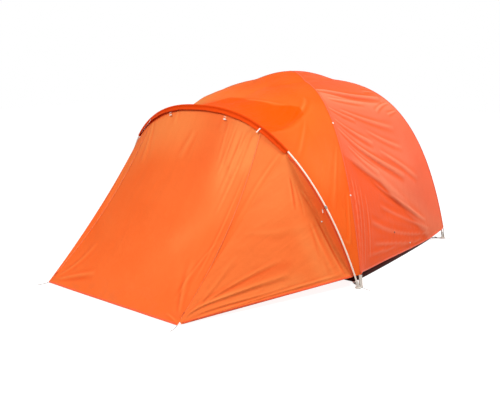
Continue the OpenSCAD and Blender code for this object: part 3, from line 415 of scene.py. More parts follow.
def bell(x, middle, width):
    """1 at the middle, falling softly to 0 on both sides."""
    return np.exp(-((x - middle) / width) ** 2)


def loose_parts(node):
    """The boxes, in millimetres, of the separate solids in a CAD node."""
    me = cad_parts[node].data
    co = np.array([v.co for v in me.vertices]) / MM
    group = np.arange(len(co))
    ends = np.array([e.vertices[:] for e in me.edges])
    while True:
        low = np.minimum(group[ends[:, 0]], group[ends[:, 1]])
        new = group.copy()
        np.minimum.at(new, ends[:, 0], low)
        np.minimum.at(new, ends[:, 1], low)
        new = new[new]
        if (new == group).all():
            return [(co[group == g].min(0), co[group == g].max(0)) for g in np.unique(group)]
        group = new


PIN_NEAR, PIN_FAR = 4.0, 30.0


def pinned(p, nodes, parts=False):
    """0 where a fitting of the CAD sits on the cloth, 1 away from it."""
    keep = np.ones(p.shape[:-1])
    for node in nodes:
        for low, high in loose_parts(node) if parts else [tuple(np.array(c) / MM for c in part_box(node))]:
            gap = np.maximum(np.maximum(low - p, p - high), 0)
            keep = np.minimum(keep, soft_step(np.linalg.norm(gap, axis=-1), PIN_NEAR, PIN_FAR))
    return keep


def near_path(x, y, path, width):
    """1 on a path in the plane of a panel's own coordinates, falling to 0 at the width."""
    best = np.full(np.shape(x), 1e9)
    for (x0, y0, w0), (x1, y1, w1) in zip(path[:-1], path[1:]):
        d = np.array([x1 - x0, y1 - y0])
        k = np.clip(((x - x0) * d[0] + (y - y0) * d[1]) / (d @ d), 0, 1)
        best = np.minimum(best, np.hypot(x - x0 - k * d[0], y - y0 - k * d[1]) / (width * (w0 + (w1 - w0) * k)))
    return np.exp(-best ** 2)


TAPE_CELLS = 4


def ribbon(name, centre, across, width, material, body=ROOT, thick=1.0, crown=0.3):
    """A closed tape along centre (k,3), with across (k,3) as unit vectors over its width."""
    t = unit(np.gradient(centre, axis=0))
    up = unit(np.cross(t, across))
    xs = np.linspace(-1, 1, TAPE_CELLS + 1)
    top = [centre + across * x * width / 2 + up * (thick / 2 + crown * (1 - x * x)) for x in xs]
    low = [centre + across * x * width / 2 + up * (-thick / 2) for x in xs[::-1]]
    ring = np.stack(top + low, 1)
    uv = tube_uv(run_of(centre), np.concatenate([xs, xs[::-1]]) * width / 2)
    return add(name, ring, tube_faces(len(centre), ring.shape[1]), material, body, uv)


def tube(name, pts, radius, material, sides=20):
    """A round tube along points, with closed flat ends."""
    pts = np.asarray(pts, float)
    t = unit(np.gradient(pts, axis=0))
    ref = np.array([0, 0, 1.0]) if abs(t[0][2]) < 0.9 else np.array([1.0, 0, 0])
    x = unit(np.cross(t[0], ref))
    rings, rr = [], np.broadcast_to(np.asarray(radius, float), (len(pts),))
    for i in range(len(pts)):
        x = unit(x - (x @ t[i]) * t[i])
        y = np.cross(t[i], x)
        a = np.arange(sides) / sides * 2 * math.pi
        rings.append(pts[i] + rr[i] * (np.cos(a)[:, None] * x + np.sin(a)[:, None] * y))
    ring = np.array(rings)
    uv = tube_uv(run_of(pts), np.arange(sides) * 2 * math.pi * np.mean(rr) / sides)
    return add(name, ring, tube_faces(len(pts), sides), material, uv=uv, weld=False)


# ---------- materials ----------
class Nodes:
    """A material or world being built from nodes.
    An input may be another node's output or a plain value, and None leaves it alone."""

    def __init__(self, name, owners=bpy.data.materials):
        self.owner = owners.new(name)
        self.owner.use_nodes = True
        self.tree = self.owner.node_tree
        self.tree.nodes.clear()

    def node(self, kind, inputs=(), **settings):
        n = self.tree.nodes.new("ShaderNode" + kind)
        for key, value in settings.items():
            setattr(n, key, value)
        for key, value in dict(inputs).items():
            if hasattr(value, "links"):
                self.tree.links.new(value, n.inputs[key])
            elif value is not None:
                n.inputs[key].default_value = value
        return n

    def math(self, op, a, b=0.0):
        return self.node("Math", {0: a, 1: b}, operation=op).outputs[0]

    def times(self, a, b):
        return self.math("MULTIPLY", a, b)

    def below(self, a, b):
        return self.math("LESS_THAN", a, b)

    def sine(self, a):
        return self.math("SINE", a)

    def mix(self, k, a, b):
        return self.node("Mix", {0: k, 6: a, 7: b}, data_type="RGBA").outputs[2]

    def uv(self):
        return self.node("TexCoord").outputs["UV"]

    def place(self):
        return self.node("TexCoord").outputs["Object"]

    def scaled(self, vector, scale):
        return self.node("VectorMath", {0: vector, 1: scale}, operation="MULTIPLY").outputs[0]

    def split(self, vector):
        return self.node("SeparateXYZ", {0: vector}).outputs

    def tiles(self, uv, pitch):
        """The cloth's own x and y, counted in steps of a pitch in millimetres."""
        return self.split(self.scaled(uv, (PER_M / pitch, PER_M / pitch, 0)))[:2]

    def grain(self, place):
        """Fine grain and wide mottling, as on moulded plastic."""
        return self.noise(place, 900.0, 3.0), self.noise(place, 45.0, 4.0, 0.6)

    def noise(self, vector, scale, detail=2.0, rough=0.5, distortion=0.0):
        inputs = {"Vector": vector, "Scale": scale, "Detail": detail, "Roughness": rough, "Distortion": distortion}
        return self.node("TexNoise", inputs).outputs["Fac"]

    def attribute(self, name):
        return self.node("Attribute", attribute_name=name).outputs["Fac"]

    def bump(self, height, distance, strength=1.0, below=None):
        inputs = {"Strength": strength, "Distance": distance, "Height": height, "Normal": below}
        return self.node("Bump", inputs).outputs[0]

    def range(self, value, low, high, to_low=0.0, to_high=1.0):
        return self.node("MapRange", {0: value, 1: low, 2: high, 3: to_low, 4: to_high}).outputs[0]

    def finish(self, colour, rough=0.5, normal=None, metal=0.0, specular=0.5, sheen=0.0, coat=0.0,
               through=None, sheen_tint=None):
        inputs = {"Base Color": colour, "Roughness": rough, "Metallic": metal, "Specular IOR Level": specular,
                  "Sheen Weight": sheen, "Coat Weight": coat, "Normal": normal}
        if sheen_tint:
            inputs.update({"Sheen Tint": sheen_tint, "Sheen Roughness": 0.4})
        shader = self.node("BsdfPrincipled", inputs).outputs[0]
        if through:
            share, tint = through
            back = self.node("BsdfTranslucent", {"Color": tint, "Normal": normal}).outputs[0]
            shader = self.node("MixShader", {0: share, 1: shader, 2: back}).outputs[0]
        self.node("OutputMaterial", {0: shader})
        return self.owner


def srgb(r, g, b):
    """A colour from 0-255 values, as the linear colour that Blender wants."""
    linear = [c / 255 / 12.92 if c / 255 <= 0.04045 else ((c / 255 + 0.055) / 1.055) ** 2.4 for c in (r, g, b)]
    return tuple(linear) + (1.0,)


def shade(colour, k, add=0.0):
    """The same colour, k times as bright plus a little, up to white."""
    return tuple(min(1.0, c * k + add) for c in colour[:3]) + (1.0,)


PER_M = 1000.0  # repeats in a metre, for a pattern given in millimetres
TURN, HALF_TURN = 6.2832, 3.1416
WEAVE_MM = 0.9
DUST, SHEEN_TINT = srgb(150, 110, 84), (1.0, 0.6, 0.4, 1.0)


def fabric(name, base, drift_to, painted_light_colour, deep, tint, share=0.2, rough=0.5, grid_mm=6.0, dirt=True):
    """Thin coated weave: ripstop grid, fine weave, soft crinkles, streaks darkened with painted shade, colour drift,
    dust by the ground.
    The cloth's glow and deep values are painted light and painted shade, leading to the paler and the more saturated
    colour."""
    base, drift_to, tint = srgb(*base), srgb(*drift_to), srgb(*tint)
    m = Nodes(name)
    uv, place = m.uv(), m.place()
    x, y = m.tiles(uv, grid_mm)
    lines = m.math("MAXIMUM", m.below(m.math("FRACT", x), 0.12), m.below(m.math("FRACT", y), 0.12))
    wx, wy, _ = m.split(m.scaled(uv, (2 * math.pi * PER_M / WEAVE_MM, 2 * math.pi * PER_M / WEAVE_MM, 0)))
    weave = m.times(m.sine(wx), m.sine(wy))
    drift = m.noise(place, 2.3, 3.0, 0.55, 0.4)
    fine = m.noise(place, 38.0, 4.0, 0.6, 0.6)
    colour = m.mix(m.range(drift, 0.3, 0.7), drift_to, base)
    # Painted light and painted shade: the cloth's glow and deep values mix in the paler and the more saturated colour.
    if painted_light_colour:
        colour = m.mix(m.attribute("glow"), colour, srgb(*painted_light_colour))
        colour = m.mix(m.attribute("deep"), colour, srgb(*deep))
    colour = m.mix(m.times(lines, 0.10), colour, shade(base, 0.72))
    colour = m.mix(m.range(fine, 0.35, 0.75, 0.0, 0.10), colour, shade(base, 1.14, 0.002))
    if dirt:
        z = m.split(place)[2]
        dust = m.times(m.range(z, 0.16, 0.0), m.range(m.noise(place, 14.0, 5.0, 0.65), 0.45, 0.75))
        colour = m.mix(m.times(dust, 0.18), colour, DUST)
    bump = m.bump(weave, 0.00012, 0.5)
    bump = m.bump(lines, 0.0002, 0.6, bump)
    # Painted shade: the streaks darken the colour along the crinkle lines that they also bump.
    streak = m.noise(m.scaled(uv, (26, 3.2, 0)), 1.0, 4.0, 0.55, 0.7)
    colour = m.mix(m.range(streak, 0.42, 0.68, 0.0, 0.16), colour, shade(base, 0.86))
    bump = m.bump(streak, 0.0045, 0.7, bump)
    bump = m.bump(m.noise(place, 9.0, 3.0, 0.5, 1.2), 0.004, 0.6, bump)
    bump = m.bump(m.noise(place, 30.0, 3.0, 0.5, 0.8), 0.0010, 0.6, bump)
    rough = m.range(fine, 0.3, 0.7, rough - 0.06, rough + 0.08)
    return m.finish(colour, rough, bump, specular=0.05, sheen=0.008, sheen_tint=SHEEN_TINT, through=(share, tint))


def webbing(name, base, deep, pitch=1.2, stitch=None, width=22.0):
    """Woven tape: ribs along the run, optional stitch lines."""
    base, deep = srgb(*base), srgb(*deep)
    m = Nodes(name)
    uv, place = m.uv(), m.place()
    x, y = m.tiles(uv, pitch)
    ribs = m.times(m.sine(m.times(x, TURN)), m.sine(m.times(y, HALF_TURN)))
    drift = m.noise(place, 60.0, 3.0)
    colour = m.mix(m.range(ribs, -0.6, 0.8), deep, base)
    colour = m.mix(m.range(drift, 0.3, 0.7, 0.0, 0.25), colour, deep)
    bump = m.bump(ribs, 0.0003, 0.7)
    if stitch:
        across = m.math("ABSOLUTE", m.split(m.scaled(uv, (1, PER_M / (width / 2), 0)))[1])
        row = m.below(m.math("ABSOLUTE", m.math("SUBTRACT", across, 0.62)), 0.11)
        dash = m.below(m.math("FRACT", m.split(m.scaled(uv, (PER_M / 3.6, 1, 0)))[0]), 0.66)
        thread = m.times(row, dash)
        colour = m.mix(thread, colour, srgb(*stitch))
        bump = m.bump(thread, 0.0004, 0.8, bump)
    return m.finish(colour, 0.62, bump, specular=0.25, sheen=0.15)


def plastic(name, base, rough=0.42):
    """Moulded plastic: faint grain, mottling and worn, paler high spots."""
    base = srgb(*base)
    m = Nodes(name)
    place = m.place()
    fine, wide = m.grain(place)
    colour = m.mix(m.range(wide, 0.35, 0.7), shade(base, 0.82), base)
    colour = m.mix(m.range(fine, 0.55, 0.8, 0.0, 0.5), colour, shade(base, 1.15, 0.02))
    bump = m.bump(fine, 0.00015, 0.5)
    return m.finish(colour, m.range(wide, 0.3, 0.7, rough - 0.06, rough + 0.06), bump, specular=0.4)


def painted_tube(name, base, wear):
    """Tube: satin coat with faint lengthwise draw lines and scuffs."""
    base, wear = srgb(*base), srgb(*wear)
    m = Nodes(name)
    uv, place = m.uv(), m.place()
    lines = m.noise(m.scaled(uv, (14, 1400, 0)), 1.0, 3.0, 0.6)
    scuff = m.noise(place, 120.0, 5.0, 0.7, 0.6)
    colour = m.mix(m.range(scuff, 0.62, 0.74, 0.0, 0.5), base, wear)
    colour = m.mix(m.range(lines, 0.3, 0.7, 0.0, 0.18), colour, wear)
    bump = m.bump(lines, 0.0001, 0.35)
    return m.finish(colour, m.range(scuff, 0.4, 0.75, 0.28, 0.5), bump, specular=0.5, coat=0.15)


def metal(name, base, rough=0.3):
    """Brushed metal with mottling."""
    base = srgb(*base)
    m = Nodes(name)
    place = m.place()
    brushed = m.noise(m.scaled(place, (220, 220, 1600)), 1.0, 4.0, 0.6)
    wide = m.noise(place, 70.0, 4.0, 0.6)
    colour = m.mix(m.range(wide, 0.35, 0.7, 0.0, 0.4), base, shade(base, 0.7))
    rough = m.range(brushed, 0.3, 0.7, rough - 0.08, rough + 0.12)
    return m.finish(colour, rough, m.bump(brushed, 0.0001, 0.4), metal=0.85)


def twist(name, base, fleck, pitch=4.0):
    """Braided cord: crossing strands and a fleck."""
    base = srgb(*base)
    m = Nodes(name)
    uv, place = m.uv(), m.place()
    x, y = m.tiles(uv, pitch)
    a = m.sine(m.times(m.math("ADD", x, y), TURN))
    b = m.sine(m.times(m.math("SUBTRACT", x, y), TURN))
    braid = m.math("MAXIMUM", a, b)
    colour = m.mix(m.range(braid, 0.0, 1.0), shade(base, 0.55), base)
    colour = m.mix(m.range(m.noise(place, 400.0, 2.0), 0.55, 0.7, 0.0, 0.7), colour, srgb(*fleck))
    return m.finish(colour, 0.7, m.bump(braid, 0.0004, 0.8), specular=0.2, sheen=0.2)


def zip_material(name, tape, teeth):
    """Coil zip: a row of teeth between two woven tapes."""
    m = Nodes(name)
    x, y = m.tiles(m.uv(), 1)
    mid = m.below(m.math("ABSOLUTE", y), 2.2)
    coil = m.sine(m.times(m.math("ADD", x, m.times(m.math("SIGN", y), 0.55)), TURN / 2.2))
    rows = m.times(mid, m.range(coil, -0.4, 0.6))
    colour = m.mix(rows, srgb(*tape), srgb(*teeth))
    return m.finish(colour, 0.5, m.bump(rows, 0.0008, 0.9), specular=0.35)


def fittings_material(name, high, low, split):
    """Side fittings: one colour above the height of the split, another below it."""
    m = Nodes(name)
    place = m.place()
    fine, wide = m.grain(place)
    colour = m.mix(m.math("GREATER_THAN", m.split(place)[2], split), srgb(*low), srgb(*high))
    colour = m.mix(m.range(wide, 0.3, 0.8, 0.0, 0.25), colour, srgb(120, 110, 104))
    return m.finish(colour, m.range(wide, 0.3, 0.7, 0.32, 0.44), m.bump(fine, 0.00015, 0.5), specular=0.4)


# Cloth: base, drift, glow (painted light), deep (painted shade), light let through.
ORANGE = fabric("orange_fly", (253, 110, 38), (249, 100, 30), (255, 150, 78), (255, 88, 0), (255, 110, 20))
PANEL = fabric("orange_panel", (255, 118, 54), (252, 108, 44), (255, 148, 80), (242, 88, 34), (255, 120, 30))
# The fly cloth of the sides and rear: the orange fly painted pinker, as painted shade for faces turned away from the
# warm key light.
CORAL_PAINTED_SHADE = fabric("coral_fly_painted_shade", (251, 119, 85), (247, 109, 73), (255, 146, 108), (255, 97, 44), (255, 96, 50))
SLEEVE = fabric("red_orange_sleeve", (228, 76, 12), (220, 64, 6), (244, 112, 48), (206, 50, 8), (235, 60, 10),
                share=0.1)
TUB = fabric("maroon_tub", (62, 16, 10), (52, 12, 8), None, None, (90, 12, 6), share=0.03, grid_mm=9.0, dirt=False)
PALE = fabric("pale_inner", (218, 208, 192), (206, 196, 178), None, None, (226, 210, 186), share=0.35, rough=0.7,
              grid_mm=5.0, dirt=False)
SEAM = webbing("orange_seam_tape", (244, 104, 56), (236, 92, 44), 0.8, stitch=(214, 66, 28), width=11.0)
# The seam tape of the sides and rear, painted pinker in the same way as painted shade.
CORAL_SEAM_PAINTED_SHADE = webbing("coral_seam_tape_painted_shade", (246, 110, 76), (240, 98, 64), 0.8, stitch=(216, 72, 44), width=11.0)
HEM = webbing("orange_hem", (246, 100, 46), (236, 86, 36), 0.8, stitch=(206, 62, 24), width=14.0)
GREY_WEB = webbing("grey_webbing", (222, 214, 206), (190, 182, 174), 1.6, stitch=(150, 144, 138))
RED_WEB = webbing("dark_red_webbing", (150, 24, 20), (112, 14, 12), 1.2)
WHITE_WEB = webbing("white_webbing", (240, 232, 222), (214, 204, 192), 1.2)
POLE = painted_tube("cream_pole", (250, 236, 222), (214, 198, 184))
BARE = metal("bare_aluminium", (206, 206, 204))
TIP = metal("pole_tip_metal", (188, 188, 186), 0.35)
ZIP_METAL = metal("zip_slider_metal", (120, 118, 116), 0.38)
ZIP_PAINT = plastic("zip_slider_paint", (232, 98, 48), 0.4)
FOOT = plastic("grey_foot", (222, 216, 208))
HUB = plastic("hub_black", (46, 46, 48))
DARK = plastic("black_plastic", (38, 38, 40))
CLIP = plastic("grey_clip", (176, 172, 168))
TOGGLE = plastic("white_toggle", (244, 238, 228), 0.35)
ELASTIC = twist("shock_elastic", (70, 70, 72), (210, 205, 198), 2.0)
CORD_RED = twist("dark_red_cord", (146, 30, 30), (196, 110, 100))
CORD_GREY = twist("grey_cord", (170, 164, 158), (120, 70, 60))
CORD_DARK = twist("dark_cord", (120, 70, 60), (190, 170, 160))
ZIP = zip_material("orange_zip", (255, 140, 84), (255, 124, 66))
GREY_ZIP = zip_material("grey_zip", (120, 114, 108), (84, 80, 78))

EYELET_Z, BUTTON_Z = side_pt(np.array(0.47), np.array(0.069))[2], side_pt(np.array(0.64), np.array(0.019))[2]
FITTINGS = fittings_material("side_fittings", (70, 50, 44), (244, 238, 228), float(EYELET_Z + BUTTON_Z) / 2 * MM)

SIDES = (("right", 1), ("left", -1))
NODE_MATERIALS = {
    "ferrules": BARE, "pole_tips": TIP, "shock_cord": ELASTIC, "pole_hub": HUB, "floor_straps": GREY_WEB,
    "strap_buckles": DARK, "inner_zip_slider": ZIP_METAL, "canopy_hooks": DARK, "sleeve_straps": WHITE_WEB,
    "ridge_clips": TOGGLE, "side_fittings": FITTINGS, "corner_tabs": GREY_WEB,
}
for stem, material in (("foot_front", FOOT), ("foot_rear", FOOT), ("zip_slider", ZIP_PAINT), ("rollup_toggle", TOGGLE),
                       ("pole_clip", CLIP), ("clip_loop", RED_WEB), ("side_toggle", TOGGLE), ("door_toggle", TOGGLE)):
    for side, _ in SIDES:
        NODE_MATERIALS[f"{stem}_{side}"] = material
for name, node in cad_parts.items():
    if name in NODE_MATERIALS:
        node.data.materials.clear()
        node.data.materials.append(NODE_MATERIALS[name])


# ---------- cords ----------
FRONT_ROUTE = [[1165.1, -164, 3.8], [1172, -164, 3.8], [1181, -165, 3.4], [1190, -166, 2.6], [1202, -168, 2],
               [1214, -170, 1.6], [1226, -173, 1.6], [1238, -177, 1.6], [1248, -182, 1.6]]
REAR_ROUTE = [[1059, 1229, 28.6], [1066, 1241, 25], [1071, 1251, 23.5], [1076, 1262, 22], [1083, 1274, 20],
              [1089, 1286, 18], [1094, 1298, 16.5], [1099, 1310, 15], [1104, 1322, 14], [1109, 1334, 13],
              [1114, 1346, 12], [1119, 1358, 11], [1123, 1370, 10], [1127, 1382, 9], [1130, 1394, 8],
              [1133, 1405, 7], [1137, 1415, 6], [1142, 1424, 4.5], [1148, 1433, 3], [1154, 1442, 2], [1160, 1451, 1.6]]
HEM_ROUTE = [[630, -1435.2, 6], [632, -1446, 4], [635, -1456, 2.2], [639, -1468, 1.6],
             [643, -1480, 1.6], [647, -1492, 1.6], [650, -1504, 1.6], [652, -1515, 1.6]]
CORD_D = 3.0


def smooth_route(route):
    """The same route with two points more in each gap, on a smooth curve through its points."""
    r = np.asarray(route, float)
    ext = np.vstack([2 * r[0] - r[1], r, 2 * r[-1] - r[-2]])
    out = []
    for i in range(1, len(ext) - 2):
        p0, p1, p2, p3 = ext[i - 1:i + 3]
        for s in (0, 1 / 3, 2 / 3):
            out.append(0.5 * (2 * p1 + (p2 - p0) * s + (2 * p0 - 5 * p1 + 4 * p2 - p3) * s ** 2
                              + (3 * p1 - p0 - 3 * p2 + p3) * s ** 3))
    return np.array(out + [r[-1]])


def stands_for(piece, node):
    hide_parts(node)


CORDS = (("front", FRONT_ROUTE, CORD_GREY, "cord_grey"),
         ("rear", REAR_ROUTE, CORD_RED, "cord_red"),
         ("hem", HEM_ROUTE, CORD_DARK, "cord_dark"))
for side, sign in SIDES:
    for label, route, material, slot in CORDS:
        line = smooth_route(route) * np.array([sign, 1, 1])
        piece = tube(f"cord_{label}_{side}_piece", line, CORD_D / 2, material, sides=12)
        stands_for(piece, f"cord_{label}_{side}")


def sheet_cloth(node, p, material, body=ROOT, glow=None, deep=None):
    """A cloth that stands for a CAD node, which it hides."""
    o = cloth(f"{node}_cloth", p, material, body, glow, deep)
    stands_for(o, node)
    return o


def tape_line(line, across, sign):
    """A tape's line and its direction across, on the right side or mirrored to the left."""
    return (line, across) if sign > 0 else (flip(line), -flip(across))


def edge_tape(name, line, inner, out, width, material, body=ROOT):
    """A tape along a cloth's edge: line and inner are two rows of its points, out points away from it."""
    across = unit(inner - line)
    return ribbon(name, line + across * (width / 2 - 1) + out, across, width, material, body, thick=0.9)


# ---------- fly: sides, rear, front roof ----------
# Folds are (path, first width, last width, depth, bias), the path in the panel's own coordinates.
APEX_STILL, APEX_FREE = 60.0, 200.0
SEAM_FADE = 0.03


def off_apex(p):
    """0 at the crossing, where the panels come to a point, 1 away from it."""
    return soft_step(np.hypot(p[..., 0], p[..., 1] - CROSS_Y), APEX_STILL, APEX_FREE)


def off_seams(u, p):
    """0 along the ridges and at the crossing, 1 in the panel's middle."""
    return soft_step(np.minimum(u, 1 - u), 0, SEAM_FADE) * off_apex(p)


SIDE_FOLDS = [
    ([(0.0, 0.765), (0.22, 0.735), (0.44, 0.70), (0.93, 0.644)], 16, 30, 11.0, 0.35),
    ([(0.10, 0.685), (0.34, 0.655), (0.62, 0.625)], 14, 24, 4.0, 0.2),
    ([(0.03, 0.62), (0.16, 0.575), (0.34, 0.53)], 11, 22, 5.0, 0.2),
    ([(0.19, 0.60), (0.46, 0.53), (0.80, 0.45)], 16, 34, 4.5),
    ([(0.05, 0.55), (0.22, 0.475), (0.46, 0.40)], 11, 30, 5.5, 0.2),
    ([(0.42, 0.47), (0.62, 0.40), (0.80, 0.35)], 18, 26, 3.0, 0.1),
    ([(0.04, 0.50), (0.18, 0.425), (0.36, 0.355), (0.71, 0.235)], 14, 36, 7.0, 0.2),
    ([(0.10, 0.415), (0.24, 0.345), (0.42, 0.275)], 12, 26, 4.5, 0.1),
    ([(0.50, 0.365), (0.70, 0.285), (0.86, 0.21)], 20, 30, 3.5, 0.2),
    ([(0.30, 0.27), (0.52, 0.175), (0.86, 0.06)], 16, 20, 5.5, 0.3),
    ([(0.88, 0.02), (0.51, 0.065), (0.23, 0.13)], 10, 30, 5.0, 0.2),
    ([(0.90, 0.03), (0.62, 0.095), (0.36, 0.165)], 9, 26, 4.0, 0.1),
    ([(0.88, 0.01), (0.65, 0.02), (0.23, 0.063)], 8, 24, 4.0),
    ([(0.80, 0.012), (0.145, 0.04)], 8, 20, 3.0),
    ([(0.060, 0.30), (0.045, 0.16), (0.02, 0.03)], 9, 13, 7.5, 0.2),
    ([(0.11, 0.28), (0.09, 0.15), (0.055, 0.02)], 10, 15, 7.0, 0.2),
    ([(0.16, 0.25), (0.14, 0.14), (0.11, 0.02)], 12, 17, 5.5, 0.1),
    ([(0.21, 0.22), (0.20, 0.12), (0.18, 0.03)], 12, 18, 4.0),
    ([(0.97, 0.60), (0.84, 0.59), (0.70, 0.56)], 9, 20, 3.5),
    ([(0.975, 0.54), (0.82, 0.53)], 9, 18, 3.0),
    ([(0.97, 0.70), (0.80, 0.72)], 9, 18, 3.0),
]
# The line under which the side panel turns in and painted shade deepens its colour, and the line above which painted
# shade deepens its colour.
CREASE_U, CREASE_V = [0, 0.12, 0.40, 0.66, 0.88, 1], [0.385, 0.350, 0.245, 0.110, 0.0, -0.06]
UPPER_U, UPPER_V = [0, 0.22, 0.44, 0.93, 1], [0.765, 0.735, 0.70, 0.644, 0.64]
TUCK_DEPTH = 14
DEEPEST, DEEPEST_AT_HEM = -16, -4

U, V = grid(220, 240)
V = V ** 0.9
base = side_pt(U, V + 0.005 * soft_step(0.85 - U, 0, 0.6) * soft_step(U, 0.0, 0.05) * (1 - V) ** 8)
side_n = normals(base)
edge = off_seams(U, base)
below = np.interp(U, CREASE_U, CREASE_V) - V
above = V - np.interp(U, UPPER_U, UPPER_V)
tuck = soft_step(below, -0.004, 0.016)
move = folds(base, side_n, side_pt, SIDE_FOLDS, 0.75, 1.5)
move = move - (TUCK_DEPTH * tuck * soft_step(U, 0.02, 0.2) * (1 - 0.75 * soft_step(below, 0.03, 0.24))
               * (1 - 0.8 * soft_step(U, 0.45, 0.7)))
move = move + 5 * bell(below, -0.022, 0.02) * soft_step(U, 0.05, 0.25) * (1 - soft_step(U, 0.84, 0.9))
move = move + ripple(base, 21, 70, 3.2) * (soft_step(V, 0.80, 0.90) * (1 - 0.6 * U))
# Painted shade under the crease, above the upper line and along the front ridge; painted light just above the crease,
# just under the upper line and in a band across the middle.
deep = np.clip(0.75 * tuck + 0.95 * soft_step(above, 0.0, 0.02) * (1 - 0.5 * U)
               + 0.5 * soft_step(0.05 - U, 0, 0.05), 0, 1)
glow = (0.5 * bell(below, -0.05, 0.05) * soft_step(U, 0.1, 0.3) + 0.6 * bell(above, -0.05, 0.06) * (1 - 0.5 * U)
        + 0.3 * near_path(U, V, [(0.3, 0.42, 1), (0.75, 0.30, 1.4)], 0.07))
low_limit = DEEPEST + (DEEPEST_AT_HEM - DEEPEST) * soft_step(0.16 - V, 0, 0.08)
# Painted highlight on the folds' ridges and painted shade in their valleys.
ridge, valley = relief(move, 2.2)
glow = glow + 0.55 * ridge
deep = np.clip(deep + 0.75 * valley, 0, 1) * (1 - 0.55 * ridge)
free = pinned(base, ["side_fittings"], parts=True)
for side, sign, seed in (("right", 1, 3), ("left", -1, 4)):
    slack = np.maximum(move + ripple(base, seed, 420, 5.0), low_limit) * edge * free
    p, n = (on_side(q, sign) for q in (base + slack[..., None] * side_n, side_n))
    sheet_cloth(f"fly_{side}", p, CORAL_PAINTED_SHADE, glow=glow, deep=deep)
    edge_tape(f"fly_{side}_hem", p[0, 3:-3], p[2, 3:-3], n[0, 3:-3], 12, CORAL_SEAM_PAINTED_SHADE)

REAR_FOLDS = [
    ([(0.03, 0.05), (0.16, 0.20), (0.36, 0.33)], 12, 40, 6.0, 0.2),
    ([(0.97, 0.05), (0.85, 0.22), (0.68, 0.36)], 12, 40, 6.0, 0.2),
    ([(0.02, 0.02), (0.2, 0.08), (0.42, 0.10)], 10, 30, 6.0, 0.2),
    ([(0.98, 0.02), (0.8, 0.07), (0.60, 0.09)], 10, 30, 6.0, 0.2),
    ([(0.02, 0.12), (0.08, 0.30), (0.17, 0.46)], 12, 34, 5.0),
    ([(0.98, 0.14), (0.91, 0.33), (0.80, 0.50)], 12, 34, 5.0),
    ([(0.03, 0.62), (0.20, 0.57), (0.38, 0.50)], 12, 34, 5.0, 0.1),
    ([(0.97, 0.66), (0.82, 0.60), (0.60, 0.54)], 12, 34, 5.0, 0.1),
    ([(0.08, 0.80), (0.30, 0.74), (0.55, 0.66)], 12, 30, 5.0, 0.2),
    ([(0.93, 0.78), (0.75, 0.73), (0.58, 0.70)], 12, 26, 4.0, 0.2),
]
U, V = grid(180, 180)
base = rear_pt(U, V)
n = normals(base)
move = (folds(base, n, rear_pt, REAR_FOLDS, 0.8, 0.9) + ripple(base, 5, 380, 4.0)) * off_seams(U, base)
p = base + move[..., None] * n
# Painted light across the middle height and on the folds' ridges; painted shade near the hem and in the folds'
# valleys.
ridge, valley = relief(move)
sheet_cloth("fly_rear", p, CORAL_PAINTED_SHADE,
            glow=0.4 * bell(V, 0.6, 0.2) + 0.5 * ridge, deep=0.8 * soft_step(0.2 - V, 0, 0.12) + 0.6 * valley)
edge_tape("fly_rear_hem", p[0, 3:-3], p[2, 3:-3], n[0, 3:-3], 12, CORAL_SEAM_PAINTED_SHADE)

ROOF_FOLDS = [
    ([(0.24, 0.90), (0.12, 0.62), (0.10, 0.42), (0.116, 0.16)], 12, 20, 4.0, 0.2),
    ([(0.42, 0.92), (0.30, 0.6), (0.22, 0.3)], 12, 26, 3.4),
    ([(0.60, 0.62), (0.52, 0.40), (0.47, 0.16)], 12, 20, 3.0),
    ([(0.66, 0.10), (0.63, 0.36), (0.66, 0.64), (0.74, 0.80)], 16, 22, 6.0, 0.3),
    ([(1.34, 0.10), (1.37, 0.36), (1.34, 0.64), (1.26, 0.80)], 16, 22, 6.0, 0.3),
    ([(0.76, 0.55), (0.84, 0.475), (0.95, 0.41), (1.06, 0.43)], 16, 18, 3.0, 0.3),
    ([(1.76, 0.90), (1.88, 0.62), (1.90, 0.42), (1.884, 0.16)], 12, 20, 4.0, 0.2),
    ([(1.58, 0.92), (1.70, 0.6), (1.78, 0.3)], 12, 26, 3.4),
]
# The line under which painted shade deepens the roof's colour, next to the hoop.
LEAF_S, LEAF_V = [0.60, 0.63, 0.69, 0.80, 0.95, 1.04, 1.11, 1.16], [0.0, 0.66, 0.67, 0.48, 0.40, 0.44, 0.29, 0.0]
HOLLOW_DEPTH = 36
S, V = grid(421, 90, 0, 2)
base = roof_pt(S, V)
n = normals(base)
edge = soft_step(np.minimum(V, 1 - V), 0, 0.06) * off_apex(base)
move = (folds(base, n, roof_pt, ROOF_FOLDS, 0.8, 0.8) + ripple(base, 8, 300, 3.0)) * edge
ridge, valley = relief(move)
# Painted shade under the leaf line, near the top in the middle and in the folds' valleys; painted light on the left
# crest, in a strip on the right and on the folds' ridges.
leaf_shade = soft_step(np.interp(S, LEAF_S, LEAF_V) - V, -0.006, 0.018)
crest_light = bell(S, 1.40, 0.28) * soft_step(V, 0.15, 0.5)
strip_light = bell(S, 0.36, 0.10) * soft_step(V, 0.05, 0.3) * soft_step(1 - V, 0.0, 0.25)
top = 0.45 * bell(S, 0.98, 0.3) * soft_step(V, 0.5, 0.75)
hollow = sum(bell(S, middle, 0.26) for middle in (0.66, 1.34)) * np.sin(np.pi * np.clip(V / 0.75, 0, 1))
move = move - HOLLOW_DEPTH * hollow
sheet_cloth("fly_front_roof", base + move[..., None] * n, ORANGE,
            glow=1.2 * crest_light + 0.12 * strip_light + 0.5 * ridge, deep=leaf_shade + top + 0.6 * valley)

